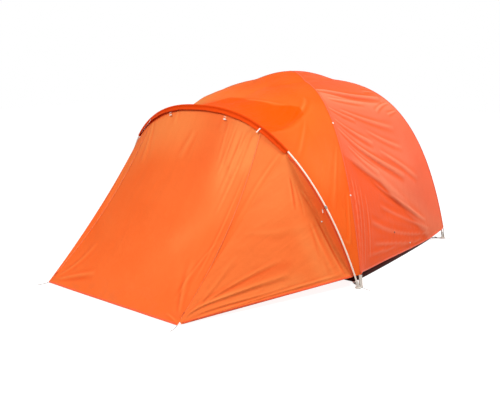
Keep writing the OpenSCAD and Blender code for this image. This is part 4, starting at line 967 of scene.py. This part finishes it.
TAPE_V = np.linspace(0.004, 0.9995, 150)
TAPE_LIFT = 1.2
LOW, HIGH = np.full(len(TAPE_V), 0.03), np.full(len(TAPE_V), 0.97)
for side, sign in SIDES:
    for label, curve, beside, material in (
            ("front", front_ridge, (side_pt(LOW, TAPE_V), roof_pt(TAPE_V, HIGH)), SEAM),
            ("rear", rear_ridge, (side_pt(HIGH, TAPE_V), rear_pt(LOW, TAPE_V)), CORAL_SEAM_PAINTED_SHADE)):
        line = lift(curve(TAPE_V))
        t = unit(np.gradient(line, axis=0))
        out = 0
        for near in beside:
            a = near - line
            up = np.cross(t, unit(a - np.sum(a * t, 1)[:, None] * t))
            out = out + up * np.copysign(1, np.sum(up * (line - CLOTH_CENTRE), 1))[:, None]
        out = unit(out)
        line, across = tape_line(line + out * TAPE_LIFT, np.cross(t, out), sign)
        ribbon(f"ridge_tape_{label}_{side}", line, across, 9, material, thick=0.8, crown=0.5)


# ---------- vestibule: front panel, gussets, side doors, edge strips ----------
def panel_pt(u, v):
    """u from 0 at the right crease to 1 at the left one, v from the hem up to the hoop."""
    hem = lerp(CORNER, flip(CORNER), u)
    top = seam_at(0.625 + 0.75 * u)
    inward = lerp(CREASE_IN, flip(CREASE_IN), u)
    return lerp(hem, top, v) + (CREASE_SAG * 4 * v * (1 - v))[..., None] * inward


PANEL_FOLDS = [
    ([(0.17, 0.94), (0.175, 0.85), (0.165, 0.76)], 20, 34, 3.5),
    ([(0.49, 0.89), (0.505, 0.80), (0.52, 0.74)], 22, 36, 3.5),
    ([(0.945, 0.03), (0.83, 0.075), (0.71, 0.11)], 14, 30, 5.0, 0.2),
    ([(0.97, 0.05), (0.90, 0.14), (0.86, 0.26)], 12, 30, 4.0),
    ([(0.105, 0.035), (0.04, 0.02), (0.01, 0.01)], 10, 8, 3.0),
    ([(0.03, 0.05), (0.09, 0.16), (0.13, 0.30)], 12, 30, 4.0),
    ([(0.03, 0.99), (0.10, 0.90), (0.14, 0.72)], 14, 34, 3.5),
    ([(0.97, 0.985), (0.90, 0.88), (0.86, 0.72)], 14, 34, 4.0),
    ([(0.30, 0.99), (0.31, 0.90)], 18, 26, 2.5),
    ([(0.66, 0.99), (0.65, 0.91)], 18, 26, 2.5),
    ([(0.20, 0.97), (0.215, 0.86), (0.22, 0.70)], 9, 12, 2.4),
    ([(0.12, 0.96), (0.14, 0.84), (0.155, 0.62)], 9, 14, 2.8),
    ([(0.075, 0.95), (0.095, 0.80), (0.125, 0.52)], 9, 14, 2.4),
    ([(0.26, 0.97), (0.262, 0.88), (0.25, 0.76)], 9, 12, 2.0),
    ([(0.022, 0.80), (0.045, 0.50), (0.05, 0.20)], 9, 12, 2.6),
    ([(0.03, 0.42), (0.09, 0.26), (0.10, 0.10)], 9, 14, 2.6),
]
U, V = grid(220, 220)
base = panel_pt(U, V)
n = normals(base)
edge = soft_step(np.minimum(U, 1 - U), 0, 0.03) * soft_step(1 - V, 0, 0.03)
move = ((folds(base, n, panel_pt, PANEL_FOLDS, 0.8, 1.2) + ripple(base, 11, 420, 4.0)) * edge
        * pinned(base, ["rollup_toggle_right", "rollup_toggle_left"]))
ridge, valley = relief(move)
# Painted light in a band down from the top right and over the upper panel; painted shadow under the sleeve at the top
# left; painted shade in a band right of the middle; painted highlight and shade on the folds' ridges and valleys.
glow = near_path(U, V, [(0.06, 0.97, 1.3), (0.115, 0.86, 1.1), (0.165, 0.76, 0.9), (0.14, 0.55, 0.9),
                        (0.28, 0.36, 0.6)], 0.12)
glow = (glow * (0.35 + 0.65 * soft_step(V, 0.45, 0.8)) + 0.55 * soft_step(V, 0.6, 0.97)
        + 0.3 * soft_step(U, 0.35, 0.6) * soft_step(V, 0.7, 0.9))
deep = (0.85 * soft_step(U, 0.55, 0.9) * soft_step(V, 0.955, 0.985)
        + 0.35 * bell(U, 0.36, 0.12) * soft_step(V, 0.5, 0.8))
p = base + move[..., None] * n
sheet_cloth("front_panel", p, PANEL, glow=glow + 0.4 * ridge, deep=deep + 0.6 * valley)
edge_tape("front_panel_hem", p[0, 2:-2], p[3, 2:-2], n[0, 2:-2], 14, HEM)

HINGE_SAG, HINGE_BLEND = 30.0, 130
LIMB_GAP, LIMB_TUCK = 14.0, 7
DOOR_EDGE, BAND = 0.994, 1.062
STRIP_IN, STRIP_BACK = 9, 34


def hinge_in(v):
    """How far the cloth hangs in from the straight line that the side door turns about."""
    return HINGE_SAG * 4 * v * (1 - v)


def gusset_pt(u, v):
    """u from 0 at the side door to 1 at the crease, v from the hoop down to the corner."""
    p = lerp(seam_at(0.5 + 0.125 * u), CORNER, v)
    return p + (u * CREASE_SAG * 4 * v * (1 - v))[..., None] * CREASE_IN - ((1 - u) * hinge_in(v))[..., None] * DOOR_N


DOOR_INSET = LIMB_GAP * unit(np.cross(DOOR_N, unit(DOOR_FOOT - DOOR_TOP)))
if DOOR_INSET @ (CORNER - DOOR_FOOT) < 0:
    DOOR_INSET = -DOOR_INSET


def door_pt(e, r):
    """e from 0 at the hem to 1 at the hinge.
    r from the corner to 1 at the door's cut edge, then up to BAND at the hoop's limb."""
    back = lerp(DOOR_FOOT + DOOR_INSET, DOOR_TOP + DOOR_INSET * 0.6, e)
    limb = seam_at(0.5 * e)
    limb = limb + LIMB_TUCK * unit(CORNER - limb)
    in_door = np.minimum(r, 1.0)
    p = lerp(CORNER, back, in_door) - (hinge_in(1 - in_door) * e ** 1.6)[..., None] * DOOR_N
    reach = np.clip((r - DOOR_EDGE) / (BAND - DOOR_EDGE), 0, 1) ** 1.1
    return p + (reach * soft_step(1 - e, 0, 0.1))[..., None] * (limb - back)


GUSSET_FOLDS = [
    ([(0.15, 0.03), (0.35, 0.30), (0.5, 0.55)], 10, 22, 3.0),
    ([(0.8, 0.45), (0.6, 0.75), (0.5, 0.92)], 12, 8, 2.5),
]
DOOR_FOLDS = [
    ([(0.73, 0.05), (0.45, 0.20), (0.30, 0.37), (0.206, 0.667)], 8, 24, 5.5, 0.35),
    ([(0.09, 0.06), (0.035, 0.36), (0.02, 0.667)], 8, 18, 4.0, 0.2),
    ([(0.59, 0.11), (0.70, 0.28), (0.77, 0.46)], 9, 22, 2.5),
    ([(0.53, 0.18), (0.44, 0.42), (0.38, 0.667)], 9, 20, 3.2, 0.2),
    ([(0.30, 0.12), (0.14, 0.36), (0.09, 0.62)], 8, 18, 3.2),
    ([(0.865, 0.95), (0.76, 0.92), (0.65, 0.88)], 9, 14, -5.0),
    ([(0.564, 0.985), (0.65, 0.985), (0.73, 0.975)], 8, 14, 4.0),
    ([(0.90, 0.55), (0.62, 0.72), (0.50, 0.93)], 20, 40, 1.6),
    ([(0.80, 0.965), (0.68, 0.945), (0.56, 0.915)], 7, 11, 2.0, 0.2),
    ([(0.50, 0.93), (0.30, 0.90), (0.08, 0.86)], 10, 22, 1.8),
    ([(0.14, 0.10), (0.07, 0.40), (0.05, 0.75), (0.04, 0.95)], 7, 12, 3.4, 0.2),
    ([(0.50, 0.93), (0.28, 0.91), (0.05, 0.90)], 12, 24, 3.0),
    ([(0.52, 0.975), (0.28, 0.968), (0.02, 0.965)], 11, 14, -5.0),
]
for side, sign in SIDES:
    U, V = grid(40, 220)
    base = gusset_pt(U, V)
    n = normals(base)
    edge = soft_step(np.minimum(U, 1 - U), 0, 0.12) * soft_step(np.minimum(V, 1 - V), 0, 0.04)
    move = (folds(base, n, gusset_pt, GUSSET_FOLDS, 0.9, 1.4) + ripple(base, 14, 160, 1.6)) * edge
    # Painted light on the upper part towards the hoop and on the folds' ridges; painted shade in the folds' valleys.
    ridge, valley = relief(move)
    sheet_cloth(f"gusset_{side}", on_side(base + move[..., None] * n, sign), PANEL,
                glow=0.45 * soft_step(0.55 - V, 0, 0.4) + 0.4 * ridge, deep=0.6 * valley)

    E, R = grid(150, 240, 0, 1, 0.02, BAND)
    base = door_pt(E, R)
    n = normals(base)
    edge = soft_step(1 - E, 0, 0.05) * soft_step(1 - R, 0, 0.025) * soft_step(R, 0.02, 0.1)
    rear = soft_step(R, 0.985, 1.03)
    free = pinned(base, ["door_toggle_right"])
    move = (folds(base, n, door_pt, DOOR_FOLDS, 0.8, 1.1) + ripple(base, 17, 300, 3.0)) * edge
    p = base + (move * free)[..., None] * n
    # Painted light over the whole door, more towards the hinge and the rear, in a band near the rear edge low down,
    # along one side of the long fold and on the folds' ridges; painted shade in the folds' valleys, along the rear
    # edge low down and along the other side of the long fold.
    ridge, valley = relief(move)
    glow = (0.3 + 0.4 * soft_step(E, 0.55, 0.95) * soft_step(R, 0.5, 0.9)
            + 0.35 * bell(R, 0.85, 0.05) * soft_step(0.7 - E, 0, 0.3))
    glow = glow + 0.3 * near_path(E, R, [(0.62, 0.05, 0.5), (0.24, 0.37, 0.8), (0.12, 0.667, 1.2)], 0.06)
    deep = 0.65 * valley + 0.25 * rear * soft_step(0.75 - E, 0, 0.3)
    deep = deep + 0.35 * near_path(E, R, [(0.80, 0.05, 0.4), (0.40, 0.37, 0.8), (0.31, 0.667, 1.0)], 0.05)
    o = sheet_cloth(f"side_door_{side}", on_side(p, sign), PANEL, body=None,
                    glow=glow + 0.45 * ridge, deep=deep)
    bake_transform(o)
    for label, tape_rows, width in (("hem", (p[2:-1, 0], p[2:-1, 3], n[2:-1, 0]), 14),
                                    ("edge", (p[-1, 3:-4], p[-3, 3:-4], n[-1, 3:-4]), 12)):
        line, inner, out = (on_side(row, sign) for row in tape_rows)
        tape = edge_tape(f"side_door_{side}_{label}", line, inner, out, width, HEM, body=None)
        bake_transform(tape)

    I, V = grid(120, 10)
    inside = lerp(DOOR_FOOT, DOOR_TOP, I) - STRIP_IN * DOOR_N - STRIP_BACK * DOOR_SIDE * DOOR_Y
    base = lerp(seam_at(I * 0.5), inside, V)
    sheet_cloth(f"edge_strip_{side}", on_side(base, sign), PANEL, glow=0 * I, deep=0 * I)


# ---------- zips along the creases ----------
def crease_out(v):
    t = unit(crease(v + 0.01) - crease(v - 0.01))
    toward = lerp(CORNER, DOOR_TOP, v) - crease(v)
    return t, unit(unit(np.cross([1.0, 0, 0], t)) + unit(np.cross(toward, t)))


ZIP_LIFT = 2.4 + 0.9
v = np.linspace(0.03, 0.97, 150)
t, out = crease_out(v)
for side, sign in SIDES:
    line, across = tape_line(crease(v) + ZIP_LIFT * out, np.cross(t, out), sign)
    o = ribbon(f"door_zip_{side}_tape", line, across, 6, ZIP, thick=1.2, crown=0.35)
    stands_for(o, f"door_zip_{side}")


# ---------- hoop sleeve with its valance ----------
SLEEVE_R = POLE_R + 2.5 + 0.9
TAIL_TURN = math.pi - rad(VALANCE_TILT)
TAIL_OPEN, TAIL_HALF = 0.2, 0.4
T_SLEEVE = np.linspace(T_DOOR, 180 - T_DOOR, 170)
around = [TAIL_TURN + TAIL_OPEN + i * (2 * math.pi - 2 * TAIL_OPEN) / 16 for i in range(17)]
prof = [(SLEEVE_R * math.cos(a), SLEEVE_R * math.sin(a)) for a in around]
tail = (-math.cos(rad(VALANCE_TILT)), math.sin(rad(VALANCE_TILT)))
rows = []
for t in T_SLEEVE:
    drop = np.interp(t, [T_SLEEVE[0], 60, 95, 130, T_SLEEVE[-1]], [24, 34, 40, 50, VALANCE])
    drops = np.linspace(SLEEVE_R + 1.5, drop + 1.2 * math.sin(t * 0.9), 8)
    front = [(d * tail[0] - TAIL_HALF * tail[1], d * tail[1] + TAIL_HALF * tail[0]) for d in drops[::-1]]
    back = [(d * tail[0] + TAIL_HALF * tail[1], d * tail[1] - TAIL_HALF * tail[0]) for d in drops]
    rows.append([in_hoop(np.array(t), a, b) for a, b in front + prof[::-1] + back])
sleeve = np.array(rows)
no_shade = np.zeros(sleeve.shape[:2])
o = cloth("hoop_sleeve_cloth", sleeve, SLEEVE, glow=no_shade, deep=no_shade)
stands_for(o, "hoop_sleeve")


# ---------- poles ----------
BROW_R, BROW_HALF, BROW_TOP = 420.6, 260, 1422
BROW_A = math.degrees(math.asin(BROW_HALF / BROW_R))


def dense(curve, t0, t1, count=220):
    """Points at equal distances along a curve."""
    t = np.linspace(t0, t1, 1200)
    s = run_of(curve(t))
    return curve(np.interp(np.linspace(0, s[-1], count), s, t))


def brow(a):
    back, drop = BROW_R * np.sin(rad(a)), BROW_R * (1 - np.cos(rad(a)))
    return np.stack([0 * a, CROSS_Y + BROW_BACK + back, BROW_TOP - drop], -1)


for name, line in (("hoop_pole", dense(hoop, HOOP_T0, 180 - HOOP_T0)),
                   ("dome_pole_a", dense(lambda t: dome(t, 1, 0, HUB_STEP), DOME_T0, 180 - DOME_T0)),
                   ("dome_pole_b", dense(lambda t: dome(t, -1, 0, 0), DOME_T0, 180 - DOME_T0)),
                   ("brow_pole", dense(brow, -BROW_A, BROW_A, 60))):
    stands_for(tube(f"{name}_tube", line, POLE_R, POLE, sides=24), name)


# ---------- tub and inner tent ----------
TUB_H, WALL_TOP, WALL_V = 100.0, 900, 0.31
IN_CROSS = cross_t(-INNER_OFF)
IN_T = {r: (dome_t(100, -INNER_OFF, 0, r), dome_t(WALL_TOP, -INNER_OFF, 0, r)) for r in (False, True)}


def inner_ridge(t, side):
    return dome(t, side, -INNER_OFF, 0)


def inner_front(v):
    """Right front leg of the inner tent, v 0 at the tub, WALL_V at the wall's top, 1 at the crossing."""
    lo, hi = inner_ridge(IN_T[False][0], 1), inner_ridge(IN_T[False][1], 1)
    low = lerp(lo, hi, np.clip(v / WALL_V, 0, 1))
    k = np.clip((v - WALL_V) / (1 - WALL_V), 0, 1)
    high = inner_ridge(IN_T[False][1] + (IN_CROSS - IN_T[False][1]) * k, 1)
    return np.where((v < WALL_V)[..., None], low, high)


def inner_back(v):
    """Right rear leg of the inner tent, with the same v. It ends 40 mm past the crossing."""
    t = np.where(v < WALL_V, IN_T[True][0] + (IN_T[True][1] - IN_T[True][0]) * v / WALL_V,
                 IN_T[True][1] + (180 - IN_CROSS - IN_T[True][1]) * (v - WALL_V) / (1 - WALL_V))
    return inner_ridge(t, -1)


def inner_cloth(node, points):
    sheet_cloth(node, points, PALE)


def inner_sag(p, u, v, amount):
    return sagged(p, amount * 4 * u * (1 - u) * np.sin(np.pi * np.clip(v, 0, 1)))


U, V = grid(60, 60)
p = inner_sag(lerp(inner_front(V), inner_back(V), U), U, V, 16)
for side, sign in SIDES:
    inner_cloth(f"inner_{side}", on_side(p, sign))
r = inner_back(V)
p = inner_sag(lerp(r, flip(r), U), U, V, 16)
inner_cloth("inner_rear", p)
U, V = grid(60, 50, 0, 1, WALL_V, 1)
r = inner_front(V)
p = inner_sag(lerp(r, flip(r), U), U, (V - WALL_V) / (1 - WALL_V), 14)
inner_cloth("inner_front_roof", p)

LOW_FRONT, LOW_REAR = inner_ridge(IN_T[False][0], 1)[:2], inner_ridge(IN_T[True][0], -1)[:2]
PLAN = np.array([LOW_FRONT, LOW_REAR, LOW_REAR * [-1, 1], LOW_FRONT * [-1, 1]])
FLOOR_Z, BULGE = 1.4, 20
PUCKER, PUCKER_X, PUCKER_Y, WALL_WAVE = 0.9, 61.0, 47.0, 1.1
FLOOR_K, RISE = np.linspace(0.02, 1, 40), np.linspace(6, TUB_H - 1, 14)


def plan_loop(count, inset):
    """Points around the floor's plan, with the same number on each edge."""
    k = np.linspace(0, 1, count, endpoint=False)[:, None]
    loop = np.concatenate([a + (b - a) * k for a, b in zip(PLAN, np.roll(PLAN, -1, axis=0))])
    mid = PLAN.mean(0)
    return loop - np.sign(loop - mid) * inset * (np.abs(loop - mid) > inset)


loop = plan_loop(70, 1.3)
side_share = np.abs(loop[:, 0]) / np.abs(loop[:, 0]).max() > 0.9
middle = PLAN.mean(0)
rings = [np.column_stack([middle + (loop - middle) * k, np.full(len(loop), FLOOR_Z)]) for k in FLOOR_K]
rings += [np.column_stack([loop, np.full(len(loop), z)]) for z in RISE]
tub = np.array(rings)
wall = len(FLOOR_K)
flat_part = np.concatenate([FLOOR_K, np.zeros(len(RISE))])
tub[..., 2] += ((PUCKER * np.abs(np.sin(tub[..., 0] / PUCKER_X) * np.sin(tub[..., 1] / PUCKER_Y)))
                * (flat_part[:, None] > 0) * (flat_part[:, None] < 1))
wave = WALL_WAVE * np.sin(np.arange(len(loop)) * 0.43) * np.sin(np.arange(len(loop)) * 0.117)
up_wall = np.sin(np.linspace(0, np.pi, len(RISE)))
tub[wall:, :, :2] -= (wave[None, :, None] * up_wall[:, None, None]) * unit(loop - middle)[None]
along = np.clip((loop[:, 1] - loop[:, 1].min()) / np.ptp(loop[:, 1]), 0, 1)
spread = BULGE * np.sin(np.pi * along) ** 0.5 * side_share
tub[..., 0] += np.sign(tub[..., 0]) * spread[None] * soft_step(flat_part, 0.7, 1)[:, None] * (flat_part > 0)[:, None]
tub[wall:, :, 0] += np.sign(tub[wall:, :, 0]) * spread[None] * (1 - soft_step(RISE, 14, 60))[:, None]
tub_uv = np.concatenate([tub[..., 0:1] + (tub[..., 2:3] > 5) * (tub[..., 2:3]), tub[..., 1:2]], -1)
o = add("tub_floor_cloth", tub, grid_faces(tub.shape[0], tub.shape[1], wrap=True), TUB, uv=tub_uv)
stands_for(o, "tub_floor")

# The flat front wall's own plane: x across, y up the wall.
WALL_LOW, WALL_HIGH = inner_front(np.array(0.0)), inner_front(np.array(WALL_V))
WALL_UP = unit(np.array([0, WALL_HIGH[1] - WALL_LOW[1], WALL_HIGH[2] - WALL_LOW[2]]))
WALL_OUT = np.cross([1.0, 0, 0], WALL_UP)
WALL_LEN = float(np.linalg.norm((WALL_HIGH - WALL_LOW)[1:]))
DOOR_W, DOOR_H, DOOR_R, DOOR_SILL, ZIP_W = 620.0, 700.0, 260.0, 45.0, 7.0
WALL_GAP, WALL_FOOT, DOORWAY_M2 = 2.3, 0.5, 0.441


def on_wall(xy, z):
    return (np.array([0, WALL_LOW[1], WALL_LOW[2]]) + xy[..., :1] * [1.0, 0, 0] + xy[..., 1:2] * WALL_UP
            + np.asarray(z)[..., None] * WALL_OUT)


def door_loop(grow, count=240):
    """The inner doorway's outline, starting at the middle of its foot, with one rounded top corner."""
    x, y0, y1, r = DOOR_W / 2 + grow, DOOR_SILL - grow, DOOR_SILL + DOOR_H + grow, DOOR_R + grow
    a = np.radians(np.linspace(0, 90, 40))
    corner = np.column_stack([x - r + r * np.cos(a), y1 - r + r * np.sin(a)])
    pts = np.vstack([[0, y0], [x, y0], corner, [-x, y1], [-x, y0], [0, y0]])
    run = run_of(pts)
    k = np.linspace(0, run[-1], count)
    return np.column_stack([np.interp(k, run, pts[:, 0]), np.interp(k, run, pts[:, 1])])


def wall_slack(flat, seed, size, amount):
    return ripple(np.dstack([flat, np.zeros(flat.shape[:2])]), seed, size, amount)


a, b = WALL_LOW[0] - WALL_GAP, WALL_HIGH[0] - WALL_GAP
top = WALL_LEN - WALL_GAP
wall_corners = [(-a, WALL_FOOT), (a, WALL_FOOT), (b, top), (-b, top), (-a, WALL_FOOT)]
hole = door_loop(1 + ZIP_W + 0.2)
middle = np.array([0, DOOR_SILL + DOOR_H / 2])
frame_pts = []
for q in hole:
    # where the ray from the doorway's middle through this point meets the wall's outline
    d = q - middle
    best = 1e9
    for p0, p1 in zip(wall_corners[:-1], wall_corners[1:]):
        e = np.subtract(p1, p0)
        den = d[0] * -e[1] + d[1] * e[0]
        if abs(den) > 1e-9:
            w = np.subtract(p0, middle)
            k, j = (w[0] * -e[1] + w[1] * e[0]) / den, (d[0] * w[1] - d[1] * w[0]) / den
            if k > 0 and -1e-6 <= j <= 1 + 1e-6:
                best = min(best, k)
    frame_pts.append(middle + d * best)
k = np.linspace(0, 1, 30)
flat_wall = hole[None] + (np.array(frame_pts) - hole)[None] * k[:, None, None]
slack = wall_slack(flat_wall, 31, 180, 1.2) * np.sin(np.pi * k)[:, None]
o = add("inner_front_wall_cloth", on_wall(flat_wall, -1 + slack * 0.7), grid_faces(len(k), len(hole)), PALE,
        uv=flat_wall)
stands_for(o, "inner_front_wall")
outline = door_loop(0)
k = np.linspace(0.01, 1, 40)
flat_door = middle + (outline - middle)[None] * k[:, None, None]
slack = wall_slack(flat_door, 33, 220, 1.4) * (1 - k[:, None] ** 6)
o = add("inner_door_cloth", on_wall(flat_door, -1 + slack * 0.7), grid_faces(len(k), len(outline)), PALE,
        body="inner_door", uv=flat_door)
stands_for(o, "inner_door")
band = door_loop(1 + ZIP_W / 2, 420)
along = unit(np.gradient(band, axis=0))
across = unit(along[:, 1:2] * [1.0, 0, 0] - along[:, :1] * WALL_UP)
o = ribbon("inner_zip_tape", on_wall(band, np.full(len(band), -1.0)), across, ZIP_W, GREY_ZIP, thick=1.2, crown=0.3)
stands_for(o, "inner_zip")


# ---------- floor, light ----------
FLOOR_HALF, FLOOR_DROP, FLOOR_GREY, FLOOR_GLOW, SKY = 14.0, -0.001, 0.3, 0.9, 0.36


def stage_floor():
    me = bpy.data.meshes.new("studio_floor")
    corners = ((-1, -1), (1, -1), (1, 1), (-1, 1))
    me.from_pydata([(x * FLOOR_HALF, y * FLOOR_HALF, FLOOR_DROP) for x, y in corners], [], [(0, 1, 2, 3)])
    m = Nodes("studio_floor")
    matt = m.node("BsdfDiffuse", {0: (FLOOR_GREY, FLOOR_GREY, FLOOR_GREY, 1)})
    path = m.node("LightPath")
    seen = m.math("MAXIMUM", path.outputs["Is Camera Ray"], path.outputs["Is Glossy Ray"])
    glow = m.node("Emission", {0: (1, 1, 1, 1), 1: m.times(seen, FLOOR_GLOW)})
    both = m.node("AddShader", {0: matt.outputs[0], 1: glow.outputs[0]})
    m.node("OutputMaterial", {0: both.outputs[0]})
    me.materials.append(m.owner)
    o = bpy.data.objects.new("studio_floor", me)
    bpy.context.scene.collection.objects.link(o)


stage_floor()


def lamp(name, place, look, size, power, colour):
    """A square area light at a place, turned to look at a point."""
    light = bpy.data.lights.new(name, "AREA")
    light.size, light.energy, light.color = size, power, colour
    o = bpy.data.objects.new(name, light)
    o.location = place
    o.rotation_euler = (Vector(look) - Vector(place)).to_track_quat("-Z", "Y").to_euler()
    bpy.context.scene.collection.objects.link(o)


lamp("key", (0.6, -5.2, 5.2), (0, 0, 0.4), 3.0, 350, (1.0, 0.97, 0.92))
lamp("fill", (4.6, 2.0, 5.5), (0.3, 0.5, 0.6), 2.4, 385, (1.0, 0.97, 0.95))
world = Nodes("studio", bpy.data.worlds)
path = world.node("LightPath")
seen = world.math("MAXIMUM", path.outputs["Is Camera Ray"], path.outputs["Is Transmission Ray"])
sky = world.node("Background", {0: (1, 1, 1, 1), 1: world.range(seen, 0, 1, SKY, 1.0)})
world.node("OutputWorld", {0: sky.outputs[0]})
bpy.context.scene.world = world.owner
bpy.context.scene.view_settings.view_transform = "Standard"
